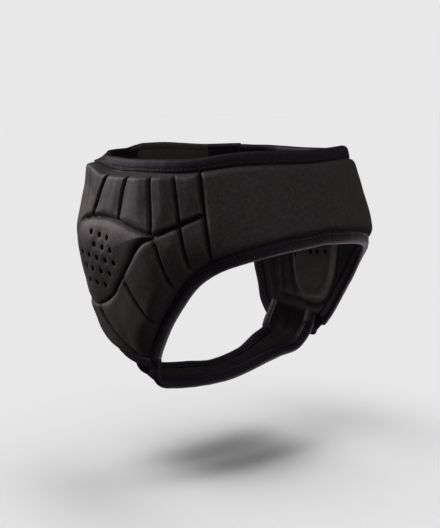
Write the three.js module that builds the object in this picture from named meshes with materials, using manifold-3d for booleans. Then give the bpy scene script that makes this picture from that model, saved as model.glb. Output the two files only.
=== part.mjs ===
// Padded sport guard for the ears: a brow panel, two moulded ear pads that reach
// down to the jaw, a strap across the back of the head and a chin strap, with
// folded tape over the edges.
//
// Millimetres, +Z up. The wearer faces -Y, so -X is the wearer's right. The origin
// is in the middle of the head opening, level with the lower edge of the brow panel.
//
// Every shell piece is laid out on one chart of the head: q runs round the head as
// arc length at brow level from the middle of the brow (positive to the wearer's
// right), z is height, and lift is the distance out from the edge line of the band.

import * as THREE from "three";
import { mergeVertices } from "three/addons/utils/BufferGeometryUtils.js";
import Module from "manifold-3d";

const wasm = await Module();
wasm.setup();

// ------------------------------------------------------------------ sizes
const HALF_LENGTH = 100; // head opening at brow level, centre to front and to back
const HALF_WIDTH = 82; // centre to side

const GAP = 0.4; // clearance between neighbouring pieces
const SEAM_GAP = 0.6; // clearance along the sewn seam
const TAPE_GAP = 0.6; // clearance between an edge and the tape's two sides
const FOLD = 1.1; // room between an edge and the fold of its tape
const EDGE_HALF = 1.4; // half the thickness of a bound edge
const TAPE = 1.0; // thickness of the folded binding tape
const TAPE_DEPTH = 7.0; // reach of the tape in from the edge
const BOUND_RINGS = [0, 8.9, 11.0]; // distances in from a bound edge: flat, then rising
const SEAM_RINGS = [0, 1.8, 5.0]; // distances in from the sewn seam beside the brow panel
const SEAM_LIFTS = [0.3, 0.78, 1.0]; // share of the full lift at those distances

const BROW_LIFT = 5.2; // outer face of the brow panel
const BROW_INNER = 3.0; // inner face of the brow panel, inwards
const BLOCK_FLOOR = 5.2; // floor of the moulded grooves
const FRONT_SHARE = 0.56, FULL_Q = 122; // the pad is thinner beside the brow panel
const DOME_Q = 166, DOME_Z = -12; // middle of the perforated dome
const DOME_HALF_Q = 54, DOME_HALF_Z = 38; // reach of the dome's swell
const DOME_RISE = 4.4; // swell of the dome over the blocks
const JAW_Q = 186, JAW_Z = -58, JAW_HALF_Q = 40, JAW_HALF_Z = 32, JAW_RISE = 2.0; // swell below and behind the ear
const REAR_Q = 200, REAR_Z = 26, REAR_HALF_Q = 44, REAR_HALF_Z = 52, REAR_RISE = 3.2; // swell above and behind the ear
const CUSHION_Q = 140, CUSHION_Z = -8; // middle of the inner ear cushion
const CUSHION_HALF_Q = 25, CUSHION_HALF_Z = 50;
const CUSHION_DEPTH = 4.0, LINING_DEPTH = 2.6;

const HOLE_DIAMETER = 4.0, HOLE_SIDES = 6;
const HOLE_PITCH = 8.8, HOLE_RISE = 0.12; // step along a row, and its rise to the rear

const STRAP_THICK = 4.0; // back strap
const STRAP_TOP = 61.8, STRAP_BOTTOM = 13;
const STRAP_CLEAR = 2.4; // the back strap's ends meet the tape of the pads' rear edges
const STRAP_INNER = -1.8; // inner face of the back strap

const CHIN_WIDTH = 26, CHIN_THICK = 4.6, CHIN_TAPE = 1.0, CHIN_TAPE_DEPTH = 6;

// Horizontal outline at several heights, as shares of the brow-level outline; power is
// the squareness of the outline, 2 being an ellipse.
const BODY_SECTIONS = [
  { z: -100, width: 0.73, length: 0.81, power: 2.3 },
  { z: -65, width: 0.92, length: 0.89, power: 2.3 },
  { z: -30, width: 0.97, length: 0.99, power: 2.3 },
  { z: 0, width: 1.0, length: 1.0, power: 2.3 },
  { z: 30, width: 0.95, length: 0.93, power: 2.2 },
  { z: 62, width: 0.895, length: 0.862, power: 2.08 },
];

// Outer face of the ear pad's blocks by height.
const PAD_SECTIONS = [
  { z: -82, lift: 6.5 },
  { z: -55, lift: 9.0 },
  { z: -20, lift: 10.5 },
  { z: 15, lift: 10.5 },
  { z: 36, lift: 11.2 },
  { z: 56, lift: 10.6 },
];

// Edges on the chart (right side; the left is mirrored).
const UPPER_EDGE = [
  { q: 0, z: 56.0 }, { q: 47, z: 56.7 }, { q: 91, z: 53.1 },
  { q: 147, z: 53.4 }, { q: 203, z: 55.8 }, { q: 214.2, z: 56.1 },
];
const FACE_EDGE = [
  { q: 0, z: 1.9 }, { q: 30, z: -0.9 }, { q: 55, z: -6.2 }, { q: 72.8, z: -12.7 },
  { q: 88.2, z: -23.7 }, { q: 104.4, z: -43.4 }, { q: 118.8, z: -64.4 }, { q: 132, z: -80 },
];
const FACE_SEAM_ROW = 3; // row of FACE_EDGE where the seam meets it
const SEAM_TOP_Q = 78.6; // upper end of the seam between brow panel and pad
const REAR_EDGE = [
  { q: 214.2, z: 56.1 }, { q: 211.3, z: 26 }, { q: 208.3, z: 0 }, { q: 205, z: -25 },
  { q: 201.3, z: -48 }, { q: 198.5, z: -64 }, { q: 186, z: -76 }, { q: 162, z: -81 }, { q: 132, z: -80 },
];

// Moulded grooves of the ear pad, each a bow from one point over a middle one to a third.
const GROOVES = [
  { name: "top_1", q0: 96.2, z0: 50, q1: 94, z1: 32, q2: 92.5, z2: 14.4, width: 3.4 },
  { name: "top_2", q0: 112.3, z0: 50, q1: 112, z1: 30, q2: 111, z2: 7.3, width: 3.4 },
  { name: "top_3", q0: 129.8, z0: 50, q1: 138, z1: 33, q2: 142, z2: 15, width: 3.4 },
  { name: "top_4", q0: 158.2, z0: 50, q1: 167, z1: 35, q2: 173, z2: 16, width: 3.4 },
  { name: "top_5", q0: 186, z0: 50, q1: 185.5, z1: 34, q2: 185, z2: 12.5, width: 3.4 },
  { name: "cheek", q0: 77.8, z0: 20.3, q1: 93, z1: 14.2, q2: 110.5, z2: 7, width: 3.6 },
  { name: "low_1", q0: 92.3, z0: 15, q1: 90, z1: 1, q2: 86, z2: -16, width: 3.4 },
  { name: "low_2", q0: 110, z0: 7, q1: 104, z1: -11.5, q2: 97.8, z2: -31, width: 3.4 },
  { name: "low_3", q0: 140, z0: -17.5, q1: 132.2, z1: -31.3, q2: 116, z2: -49.5, width: 3.6 },
  { name: "low_4", q0: 175.8, z0: -40, q1: 168.2, z1: -55.2, q2: 145.5, z2: -70.5, width: 3.6 },
];

// Ring groove round the dome, from its front corner over the top and back along the foot.
const RING = [
  { q: 110.5, z: 7 }, { q: 124.5, z: 10.8 }, { q: 137, z: 13.9 }, { q: 149, z: 15.9 },
  { q: 162, z: 16.5 }, { q: 175.5, z: 15.2 }, { q: 187, z: 11 }, { q: 195, z: 2 },
  { q: 197.5, z: -13 }, { q: 197, z: -28 }, { q: 192, z: -38 }, { q: 182, z: -41 },
  { q: 169.5, z: -39 }, { q: 155, z: -32 }, { q: 145, z: -22.8 }, { q: 138, z: -16 },
  { q: 129.5, z: -7 }, { q: 124, z: -0.3 }, { q: 117.5, z: 4.6 },
];
// Rows of holes through the dome: the front hole of each row and their number.
const HOLE_ROWS = [
  { q: 151.8, z: 4.7, count: 3 },
  { q: 148, z: -2, count: 3 },
  { q: 146, z: -9.75, count: 5 },
  { q: 152.7, z: -17.2, count: 4 },
  { q: 160.5, z: -25.5, count: 3 },
];
// Blind vents in the ear cushion.
const VENTS = [{ q: 127.2, z: -21 }, { q: 137.8, z: -22 }, { q: 145.5, z: -22.5 }];
const RING_WIDTH = 5.0, RING_STEPS = 30;

// Middle line of the chin strap, wearer's right to left. back_up is the rise of the
// strap's back edge over its front edge, as an angle in degrees; flare is what each
// half of the strap is wider than at the chin.
const CHIN_STATIONS = [
  { x: -68.2, y: 10, z: -63, back_up: 3, flare: 0 },
  { x: -62, y: 9.6, z: -78, back_up: 7, flare: 0 },
  { x: -60.9, y: 9.2, z: -88.2, back_up: 12, flare: 0 },
  { x: -56.8, y: 8.2, z: -93.8, back_up: 19, flare: 0 },
  { x: -48, y: 5.2, z: -94.8, back_up: 24.5, flare: 0 },
  { x: -34, y: 1.4, z: -95, back_up: 24, flare: 0 },
  { x: -12.3, y: -1.8, z: -95.9, back_up: 15, flare: 0 },
  { x: 14.4, y: -1.2, z: -92, back_up: 14, flare: 0 },
  { x: 36.5, y: 2.2, z: -86.3, back_up: 28, flare: 1.2 },
  { x: 53.4, y: 5.4, z: -82.8, back_up: 25, flare: 3.8 },
  { x: 61.6, y: 7.6, z: -73.4, back_up: 12, flare: 9 },
  { x: 66.2, y: 6.8, z: -62.5, back_up: 4, flare: 11.8 },
];

const FABRIC = { color: 0x2b2524, roughness: 0.62, metalness: 0.0 };
const TAPE_CLOTH = { color: 0x15151b, roughness: 0.5, metalness: 0.0 };
const STRAP_CLOTH = { color: 0x2a2423, roughness: 0.7, metalness: 0.0 };

// ------------------------------------------------------------------ small helpers
const clamp01 = (x) => Math.min(1, Math.max(0, x));
const smooth = (a, b, x) => { const s = clamp01((x - a) / (b - a)); return s * s * (3 - 2 * s); };

// Monotone cubic through the rows of a table, by two named columns.
function through(rows, xKey, yKey) {
  const x = rows.map((r) => r[xKey]), y = rows.map((r) => r[yKey]), n = rows.length;
  const h = [], d = [];
  for (let i = 0; i < n - 1; i++) { h.push(x[i + 1] - x[i]); d.push((y[i + 1] - y[i]) / h[i]); }
  const m = [d[0]];
  for (let i = 1; i < n - 1; i++) {
    const w1 = 2 * h[i] + h[i - 1], w2 = h[i] + 2 * h[i - 1];
    m.push(d[i - 1] * d[i] <= 0 ? 0 : (w1 + w2) / (w1 / d[i - 1] + w2 / d[i]));
  }
  m.push(d[n - 2]);
  return (v) => {
    if (v <= x[0]) return y[0] + m[0] * (v - x[0]);
    if (v >= x[n - 1]) return y[n - 1] + m[n - 1] * (v - x[n - 1]);
    let i = 0;
    while (v > x[i + 1]) i++;
    const s = (v - x[i]) / h[i], a = 1 - s;
    return y[i] * a * a * (1 + 2 * s) + y[i + 1] * s * s * (3 - 2 * s)
      + h[i] * (m[i] * s * a * a - m[i + 1] * s * s * a);
  };
}

const splineOf = (rows) => new THREE.SplineCurve(rows.map((r) => new THREE.Vector2(r.q, r.z)));

// ------------------------------------------------------------------ the head chart
const widthAt = through(BODY_SECTIONS, "z", "width");
const lengthAt = through(BODY_SECTIONS, "z", "length");
const powerAt = through(BODY_SECTIONS, "z", "power");
const squared = (v, n) => Math.sign(v) * Math.abs(v) ** (2 / n);
const outline = (t, z) => new THREE.Vector3(
  -HALF_WIDTH * widthAt(z) * squared(Math.sin(t), powerAt(z)),
  -HALF_LENGTH * lengthAt(z) * squared(Math.cos(t), powerAt(z)), z);

const CHART_STEPS = 720;
const chartLength = [0];
for (let i = 1; i <= CHART_STEPS; i++) {
  const a = outline(((i - 1) / CHART_STEPS) * Math.PI, 0), b = outline((i / CHART_STEPS) * Math.PI, 0);
  chartLength.push(chartLength[i - 1] + a.distanceTo(b));
}
const HALF_ROUND = chartLength[CHART_STEPS];

function angleAt(q) {
  if (q < 0) return -angleAt(-q);
  if (q > HALF_ROUND) return 2 * Math.PI - angleAt(2 * HALF_ROUND - q);
  let lo = 0, hi = CHART_STEPS;
  while (hi - lo > 1) { const mid = (lo + hi) >> 1; if (chartLength[mid] <= q) lo = mid; else hi = mid; }
  return ((lo + (q - chartLength[lo]) / (chartLength[hi] - chartLength[lo])) / CHART_STEPS) * Math.PI;
}
const onChart = (q, z) => outline(angleAt(q), z);
const CHART_PROBE = 1.5;
function lifted(q, z, lift) {
  const along = onChart(q + CHART_PROBE, z).sub(onChart(q - CHART_PROBE, z));
  const up = onChart(q, z + CHART_PROBE).sub(onChart(q, z - CHART_PROBE));
  return onChart(q, z).addScaledVector(up.cross(along).normalize(), lift);
}

// ------------------------------------------------------------------ solids
// Turns a list of points and triangles into a closed geometry that faces out.
function solidOf(points, triangles) {
  let volume = 0;
  const c = new THREE.Vector3();
  for (const [a, b, d] of triangles) volume += points[a].dot(c.crossVectors(points[b], points[d]));
  const g = new THREE.BufferGeometry();
  g.setAttribute("position", new THREE.Float32BufferAttribute(points.flatMap((p) => p.toArray()), 3));
  g.setIndex(triangles.flatMap(([a, b, d]) => (volume < 0 ? [a, d, b] : [a, b, d])));
  return g;
}

// A shell: two faces over one grid of chart points, joined round the rim.
function shell(grid, outer, inner) {
  const rows = grid.length, cols = grid[0].length, points = [], triangles = [];
  for (const face of [outer, inner])
    for (let j = 0; j < rows; j++)
      for (let i = 0; i < cols; i++) points.push(lifted(grid[j][i].x, grid[j][i].y, face(i, j, grid[j][i])));
  const at = (k, j, i) => k * rows * cols + j * cols + i;
  const quad = (a, b, c, d) => triangles.push([a, b, c], [a, c, d]);
  for (let j = 0; j < rows - 1; j++)
    for (let i = 0; i < cols - 1; i++) {
      quad(at(0, j, i), at(0, j, i + 1), at(0, j + 1, i + 1), at(0, j + 1, i));
      quad(at(1, j, i), at(1, j + 1, i), at(1, j + 1, i + 1), at(1, j, i + 1));
    }
  for (let i = 0; i < cols - 1; i++) {
    quad(at(0, 0, i + 1), at(0, 0, i), at(1, 0, i), at(1, 0, i + 1));
    quad(at(0, rows - 1, i), at(0, rows - 1, i + 1), at(1, rows - 1, i + 1), at(1, rows - 1, i));
  }
  for (let j = 0; j < rows - 1; j++) {
    quad(at(0, j, 0), at(0, j + 1, 0), at(1, j + 1, 0), at(1, j, 0));
    quad(at(0, j + 1, cols - 1), at(0, j, cols - 1), at(1, j, cols - 1), at(1, j + 1, cols - 1));
  }
  return solidOf(points, triangles);
}

// A section swept through a row of places; each place maps a section point to 3-D.
function sweep(places, outlinePoints, closed = false) {
  const section = THREE.ShapeUtils.area(outlinePoints) < 0 ? [...outlinePoints].reverse() : outlinePoints;
  const n = section.length, points = [], triangles = [];
  for (const place of places) for (const s of section) points.push(place(s.x, s.y));
  const steps = closed ? places.length : places.length - 1;
  for (let k = 0; k < steps; k++)
    for (let i = 0; i < n; i++) {
      const a = k * n + i, b = k * n + ((i + 1) % n);
      const c = ((k + 1) % places.length) * n + ((i + 1) % n), d = ((k + 1) % places.length) * n + i;
      triangles.push([a, b, c], [a, c, d]);
    }
  if (!closed) {
    const last = (places.length - 1) * n;
    for (const [a, b, c] of THREE.ShapeUtils.triangulateShape(section, []))
      triangles.push([c, b, a], [last + a, last + b, last + c]);
  }
  return solidOf(points, triangles);
}

function toManifold(geometry) {
  const g = geometry.clone();
  for (const name of Object.keys(g.attributes)) if (name !== "position") g.deleteAttribute(name);
  const m = mergeVertices(g, 1e-4);
  return new wasm.Manifold(new wasm.Mesh({
    numProp: 3,
    vertProperties: Float32Array.from(m.attributes.position.array),
    triVerts: Uint32Array.from(m.index.array),
  }));
}
function fromManifold(body) {
  const mesh = body.getMesh();
  const g = new THREE.BufferGeometry();
  g.setAttribute("position", new THREE.BufferAttribute(Float32Array.from(mesh.vertProperties), 3));
  g.setIndex(new THREE.BufferAttribute(Uint32Array.from(mesh.triVerts), 1));
  return g;
}

// Mirror image across the middle plane, still facing out.
function mirrored(geometry) {
  const g = geometry.clone(), p = g.attributes.position;
  for (let i = 0; i < p.count; i++) p.setX(i, -p.getX(i));
  const index = g.index.array.slice();
  for (let i = 0; i < index.length; i += 3) [index[i + 1], index[i + 2]] = [index[i + 2], index[i + 1]];
  g.setIndex(new THREE.BufferAttribute(index, 1));
  return g;
}

// ------------------------------------------------------------------ edges of the shell
const upperEdge = through(UPPER_EDGE, "q", "z");
const SEAM = [{ q: SEAM_TOP_Q, z: upperEdge(SEAM_TOP_Q) }, FACE_EDGE[FACE_SEAM_ROW]];
const seamCurve = splineOf(SEAM);
const faceCurve = splineOf(FACE_EDGE);
const rearCurve = splineOf(REAR_EDGE);
const faceLengths = faceCurve.getLengths(100 * (FACE_EDGE.length - 1));
const FACE_SEAM_AT = faceLengths[100 * FACE_SEAM_ROW] / faceLengths[faceLengths.length - 1];

// One side of a patch: a point along it and the direction into the patch.
function side(pointAt, inwardSign) {
  return (s) => {
    const a = pointAt(Math.max(0, s - 0.004)), b = pointAt(Math.min(1, s + 0.004));
    const dir = b.clone().sub(a).normalize();
    return { p: pointAt(s), dir, inward: new THREE.Vector2(-dir.y * inwardSign, dir.x * inwardSign), length: b.distanceTo(a) };
  };
}

// Where two sides meet, the point at given distances in from each.
function corner(p, in1, d1, in2, d2) {
  const det = in1.x * in2.y - in1.y * in2.x;
  return new THREE.Vector2(
    p.x + (d1 * in2.y - d2 * in1.y) / det, p.y + (in1.x * d2 - in2.x * d1) / det);
}

// A four-sided patch of chart points with rings that follow each side.
// top and foot run front to rear, front and rear run top to foot.
function patch(sides, rings, across, down) {
  const { top, foot, front, rear } = sides;
  const place = (s, ends, distance, sideAt) => {
    // a line parallel to one side, from one inset corner to the other
    const foot0 = sideAt(0), foot1 = sideAt(1);
    const span = sideAt.span;
    const s0 = ends[0].clone().sub(foot0.p).dot(foot0.dir) / span;
    const s1 = 1 + ends[1].clone().sub(foot1.p).dot(foot1.dir) / span;
    const at = (w) => { const e = sideAt(s0 + (s1 - s0) * w); return e.p.clone().addScaledVector(e.inward, distance); };
    return at(s).addScaledVector(ends[0].clone().sub(at(0)), 1 - s).addScaledVector(ends[1].clone().sub(at(1)), s);
  };
  const cornerOf = (a, sa, da, b, sb, db) => corner(a(sa).p, a(sa).inward, da, b(sb).inward, db);
  const ringCorners = (t, f, l, r) => ({
    tl: cornerOf(top, 0, t, front, 0, l), tr: cornerOf(top, 1, t, rear, 0, r),
    fl: cornerOf(foot, 0, f, front, 1, l), fr: cornerOf(foot, 1, f, rear, 1, r),
  });
  const R = rings.top.length - 1;
  const cols = across + 2 * R + 1, rows = down + 2 * R + 1;
  const grid = Array.from({ length: rows }, () => new Array(cols));
  // the rings, from the rim inwards
  for (let k = 0; k <= R; k++) {
    const d = { t: rings.top[k], f: rings.foot[k], l: rings.front[k], r: rings.rear[k] };
    const c = ringCorners(d.t, d.f, d.l, d.r);
    for (let i = k; i < cols - k; i++) {
      const s = clamp01((i - R) / across);
      grid[k][i] = place(s, [c.tl, c.tr], d.t, top);
      grid[rows - 1 - k][i] = place(s, [c.fl, c.fr], d.f, foot);
    }
    for (let j = k + 1; j < rows - 1 - k; j++) {
      const s = clamp01((j - R) / down);
      grid[j][k] = place(s, [c.tl, c.fl], d.l, front);
      grid[j][cols - 1 - k] = place(s, [c.tr, c.fr], d.r, rear);
    }
  }
  // short steps along the rim beside each corner
  for (let k = 0; k < R; k++) {
    const d = { t: rings.top[k], f: rings.foot[k], l: rings.front[k], r: rings.rear[k] };
    for (let i = k + 1; i < R; i++) {
      const c = ringCorners(d.t, d.f, rings.front[i], rings.rear[i]);
      grid[k][i] = c.tl; grid[k][cols - 1 - i] = c.tr;
      grid[rows - 1 - k][i] = c.fl; grid[rows - 1 - k][cols - 1 - i] = c.fr;
      const e = ringCorners(rings.top[i], rings.foot[i], d.l, d.r);
      grid[i][k] = e.tl; grid[i][cols - 1 - k] = e.tr;
      grid[rows - 1 - i][k] = e.fl; grid[rows - 1 - i][cols - 1 - k] = e.fr;
    }
    const c = ringCorners(d.t, d.f, rings.front[R], rings.rear[R]);
    grid[k][R] = c.tl; grid[k][cols - 1 - R] = c.tr;
    grid[rows - 1 - k][R] = c.fl; grid[rows - 1 - k][cols - 1 - R] = c.fr;
    const e = ringCorners(rings.top[R], rings.foot[R], d.l, d.r);
    grid[R][k] = e.tl; grid[R][cols - 1 - k] = e.tr;
    grid[rows - 1 - R][k] = e.fl; grid[rows - 1 - R][cols - 1 - k] = e.fr;
    for (let i = R + 1; i < cols - 1 - R; i++) {
      const s = (i - R) / across;
      grid[k][i] = place(s, [grid[k][R], grid[k][cols - 1 - R]], d.t, top);
      grid[rows - 1 - k][i] = place(s, [grid[rows - 1 - k][R], grid[rows - 1 - k][cols - 1 - R]], d.f, foot);
    }
    for (let j = R + 1; j < rows - 1 - R; j++) {
      const s = (j - R) / down;
      grid[j][k] = place(s, [grid[R][k], grid[rows - 1 - R][k]], d.l, front);
      grid[j][cols - 1 - k] = place(s, [grid[R][cols - 1 - k], grid[rows - 1 - R][cols - 1 - k]], d.r, rear);
    }
  }
  // the field inside the innermost ring
  const lo = R, hiI = cols - 1 - R, hiJ = rows - 1 - R;
  for (let j = lo + 1; j < hiJ; j++)
    for (let i = lo + 1; i < hiI; i++) {
      const u = (i - lo) / (hiI - lo), v = (j - lo) / (hiJ - lo);
      const mix = (a, b, s) => a.clone().lerp(b, s);
      const ruled = mix(grid[lo][i], grid[hiJ][i], v).add(mix(grid[j][lo], grid[j][hiI], u));
      grid[j][i] = ruled.sub(mix(mix(grid[lo][lo], grid[lo][hiI], u), mix(grid[hiJ][lo], grid[hiJ][hiI], u), v));
    }
  return { grid, rows, cols, R };
}

function sideOf(pointAt, inwardSign, span) { const f = side(pointAt, inwardSign); f.span = span; return f; }
const spanOf = (pointAt) => {
  let length = 0;
  for (let k = 0; k < 60; k++) length += pointAt(k / 60).distanceTo(pointAt((k + 1) / 60));
  return length;
};
const sideAlong = (pointAt, inwardSign) => sideOf(pointAt, inwardSign, spanOf(pointAt));

// Index of the ring that a grid place lies on, counted from the rim of the nearest side.
const ringsAt = ({ rows, cols, R }, i, j) => ({
  front: Math.min(i, R), rear: Math.min(cols - 1 - i, R), top: Math.min(j, R), foot: Math.min(rows - 1 - j, R),
});

// ------------------------------------------------------------------ brow panel
const mirrorQ = (p) => new THREE.Vector2(-p.x, p.y);
const browFoot = (s) => {
  const w = 2 * s - 1; // wearer's left seam to right seam
  const p = faceCurve.getPointAt(Math.min(1, Math.abs(w) * FACE_SEAM_AT));
  return w < 0 ? mirrorQ(p) : p;
};
const browTop = (s) => { const q = (2 * s - 1) * SEAM[0].q; return new THREE.Vector2(q, upperEdge(Math.abs(q))); };
const seamRight = (s) => seamCurve.getPointAt(clamp01(s));
const browPatch = patch({
  top: sideAlong(browTop, -1), foot: sideAlong(browFoot, 1),
  front: sideAlong((s) => mirrorQ(seamRight(s)), 1), rear: sideAlong(seamRight, -1),
}, { top: BOUND_RINGS, foot: BOUND_RINGS, front: SEAM_RINGS, rear: SEAM_RINGS }, 14, 3);

const BOUND_SHARE = [0, 0, 0.86];
function shareOf(at, frontIsSeam, rearIsSeam) {
  const bound = Math.min(
    at.top < 3 ? [0, 0, 0.86][at.top] : 1, at.foot < 3 ? [0, 0, 0.86][at.foot] : 1,
    frontIsSeam ? 1 : [0, 0, 0.86][at.front], rearIsSeam ? 1 : [0, 0, 0.86][at.rear]);
  const seam = Math.min(frontIsSeam ? SEAM_LIFTS[at.front] : 1, rearIsSeam ? SEAM_LIFTS[at.rear] : 1);
  return { bound, seam };
}
const fieldOf = (p, i, j) => {
  const inside = i > p.R && i < p.cols - 1 - p.R && j > p.R && j < p.rows - 1 - p.R;
  return inside;
};
function puff(p, frontIsSeam, rearIsSeam, full) {
  return (i, j, at) => {
    const k = ringsAt(p, i, j);
    const innermost = [k.front, k.rear, k.top, k.foot].every((v) => v >= p.R);
    let { bound, seam } = shareOf(k, frontIsSeam, rearIsSeam);
    if (fieldOf(p, i, j) || innermost && bound === 1) bound = 1;
    return EDGE_HALF + (full(at.x, at.y) - EDGE_HALF) * bound * seam;
  };
}
const browPanel = shell(browPatch.grid,
  puff(browPatch, true, true, () => BROW_LIFT),
  (i, j) => {
    const { bound } = shareOf(ringsAt(browPatch, i, j), true, true);
    return -(EDGE_HALF + (BROW_INNER - EDGE_HALF) * bound);
  });

// ------------------------------------------------------------------ ear pad
const padFace = through(PAD_SECTIONS, "z", "lift");
const jawSwell = (q, z) => JAW_RISE * clamp01(1 - ((q - JAW_Q) / JAW_HALF_Q) ** 2 - ((z - JAW_Z) / JAW_HALF_Z) ** 2);
const domeSwell = (q, z) => DOME_RISE * clamp01(1 - ((q - DOME_Q) / DOME_HALF_Q) ** 2 - ((z - DOME_Z) / DOME_HALF_Z) ** 2);
const rearSwell = (q, z) => REAR_RISE * clamp01(1 - ((q - REAR_Q) / REAR_HALF_Q) ** 2 - ((z - REAR_Z) / REAR_HALF_Z) ** 2);
const padLift = (q, z) => padFace(z) * (FRONT_SHARE + (1 - FRONT_SHARE) * smooth(SEAM_TOP_Q, FULL_Q, q)) + domeSwell(q, z) + jawSwell(q, z) + rearSwell(q, z);
const cushion = (q, z) => {
  const r = Math.hypot((q - CUSHION_Q) / CUSHION_HALF_Q, (z - CUSHION_Z) / CUSHION_HALF_Z);
  return LINING_DEPTH + CUSHION_DEPTH * (1 - smooth(0.8, 1.15, r));
};

const padTop = (s) => { const q = SEAM_TOP_Q + SEAM_GAP + s * (REAR_EDGE[0].q - SEAM_TOP_Q - SEAM_GAP); return new THREE.Vector2(q, upperEdge(q)); };
const padFront = (s) => { const p = seamRight(s); return new THREE.Vector2(p.x + SEAM_GAP, p.y); };
const PAD_FOOT_AT = FACE_SEAM_AT + SEAM_GAP / faceCurve.getLength();
const padFoot = (s) => faceCurve.getPointAt(clamp01(PAD_FOOT_AT + (1 - PAD_FOOT_AT) * s));
const padRear = (s) => rearCurve.getPointAt(clamp01(s));
const padPatch = patch({
  top: sideAlong(padTop, -1), foot: sideAlong(padFoot, 1),
  front: sideAlong(padFront, 1), rear: sideAlong(padRear, -1),
}, { top: BOUND_RINGS, foot: BOUND_RINGS, front: SEAM_RINGS, rear: BOUND_RINGS }, 10, 11);

const padBlank = shell(padPatch.grid,
  puff(padPatch, true, false, padLift),
  (i, j, at) => {
    const { bound } = shareOf(ringsAt(padPatch, i, j), true, false);
    return -(EDGE_HALF + (cushion(at.x, at.y) - EDGE_HALF) * bound);
  });

// Cutter for a groove: a flared channel that follows a path on the chart.
const GROOVE_STEPS = 3, CUT_TOP = 22, GROOVE_FLARE = 1.9;
function channel(pathAt, steps, width, closed = false) {
  const deep = width / 2, wide = deep * GROOVE_FLARE * 1.6;
  const section = [
    new THREE.Vector2(0, BLOCK_FLOOR),
    new THREE.Vector2(wide, CUT_TOP), new THREE.Vector2(-wide, CUT_TOP),
  ];
  const places = [];
  for (let k = 0; k < (closed ? steps : steps + 1); k++) {
    const s = k / steps, p = pathAt(s);
    const a = pathAt(closed ? (s + 0.995) % 1 : Math.max(0, s - 0.005)), b = pathAt(closed ? (s + 0.005) % 1 : Math.min(1, s + 0.005));
    const d = b.clone().sub(a).normalize();
    places.push((across, lift) => lifted(p.x - d.y * across, p.y + d.x * across, lift));
  }
  return sweep(places, section, closed);
}
function bow(g) {
  // bezier whose middle passes through the middle point
  const a = new THREE.Vector2(g.q0, g.z0), m = new THREE.Vector2(g.q1, g.z1), b = new THREE.Vector2(g.q2, g.z2);
  const pull = m.multiplyScalar(2).addScaledVector(a, -0.5).addScaledVector(b, -0.5);
  const curve = new THREE.QuadraticBezierCurve(a, pull, b);
  return (s) => curve.getPoint(s);
}

let pad = toManifold(padBlank);
for (const g of GROOVES) pad = pad.subtract(toManifold(channel(bow(g), GROOVE_STEPS, g.width)));
const ring = new THREE.CatmullRomCurve3(RING.map((r) => new THREE.Vector3(r.q, r.z, 0)), true, "centripetal");
const ringAt = (s) => { const p = ring.getPointAt(s % 1); return new THREE.Vector2(p.x, p.y); };
pad = pad.subtract(toManifold(channel(ringAt, RING_STEPS, RING_WIDTH, true)));

// Holes through the dome, in staggered rows square to the face.
const HOLE_OUT = 24, HOLE_IN = -12, VENT_FLOOR = -3.2;
function drilled(solid, q, z, low, high) {
  const a = lifted(q, z, low), b = lifted(q, z, high);
  const drill = new THREE.CylinderGeometry(HOLE_DIAMETER / 2, HOLE_DIAMETER / 2, a.distanceTo(b), HOLE_SIDES, 1);
  drill.applyQuaternion(new THREE.Quaternion().setFromUnitVectors(new THREE.Vector3(0, 1, 0), b.clone().sub(a).normalize()));
  drill.translate((a.x + b.x) / 2, (a.y + b.y) / 2, (a.z + b.z) / 2);
  return solid.subtract(toManifold(drill));
}
HOLE_ROWS.forEach((row) => {
  for (let k = 0; k < row.count; k++) pad = drilled(pad, row.q + k * HOLE_PITCH, row.z + k * HOLE_PITCH * HOLE_RISE, HOLE_IN, HOLE_OUT);
});
VENTS.forEach((v) => { pad = drilled(pad, v.q, v.z, HOLE_IN, VENT_FLOOR); });
const padRight = fromManifold(pad);

// ------------------------------------------------------------------ binding tape
// Folded tape over an edge: x is the distance in from the edge, y the lift.
function foldedTape(half, gap, tape, depth) {
  const inside = half + gap, outside = inside + tape;
  return [
    [depth, inside], [depth, outside], [-FOLD - tape, outside], [-FOLD - tape, -outside],
    [depth, -outside], [depth, -inside], [-FOLD, -inside], [-FOLD, inside],
  ].map(([x, y]) => new THREE.Vector2(x, y));
}
const edgeTape = foldedTape(EDGE_HALF, TAPE_GAP, TAPE, TAPE_DEPTH);
// Places along an edge curve of the chart, from one share of it to another.
function along(pointAt, inwardSign, from, to, steps) {
  const at = side(pointAt, inwardSign), places = [];
  for (let k = 0; k <= steps; k++) {
    const e = at(from + ((to - from) * k) / steps);
    places.push((inwards, lift) => lifted(e.p.x + e.inward.x * inwards, e.p.y + e.inward.y * inwards, lift));
  }
  return places;
}
const topLine = (s) => { const q = (2 * s - 1) * REAR_EDGE[0].q; return new THREE.Vector2(q, upperEdge(Math.abs(q))); };
const topBinding = sweep(along(topLine, -1, 0, 1, 42), edgeTape);

const faceLine = (s) => { const w = 2 * s - 1, p = faceCurve.getPointAt(Math.abs(w)); return w < 0 ? mirrorQ(p) : p; };
const faceLength = 2 * faceCurve.getLength();
const TIP_BACK = 9.5; // the front tape stops this far short of the tip's point
const faceBinding = sweep(along(faceLine, 1, TIP_BACK / faceLength, 1 - TIP_BACK / faceLength, 42), edgeTape);

const rearLength = rearCurve.getLength();
const REAR_START = TAPE_DEPTH + 1.8; // below the upper tape
const TIP_TURN = 2.0; // the rear tape runs nearly to the tip's point
const rearBinding = sweep(along(padRear, -1, REAR_START / rearLength, 1 - TIP_TURN / rearLength, 20), edgeTape);

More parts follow.
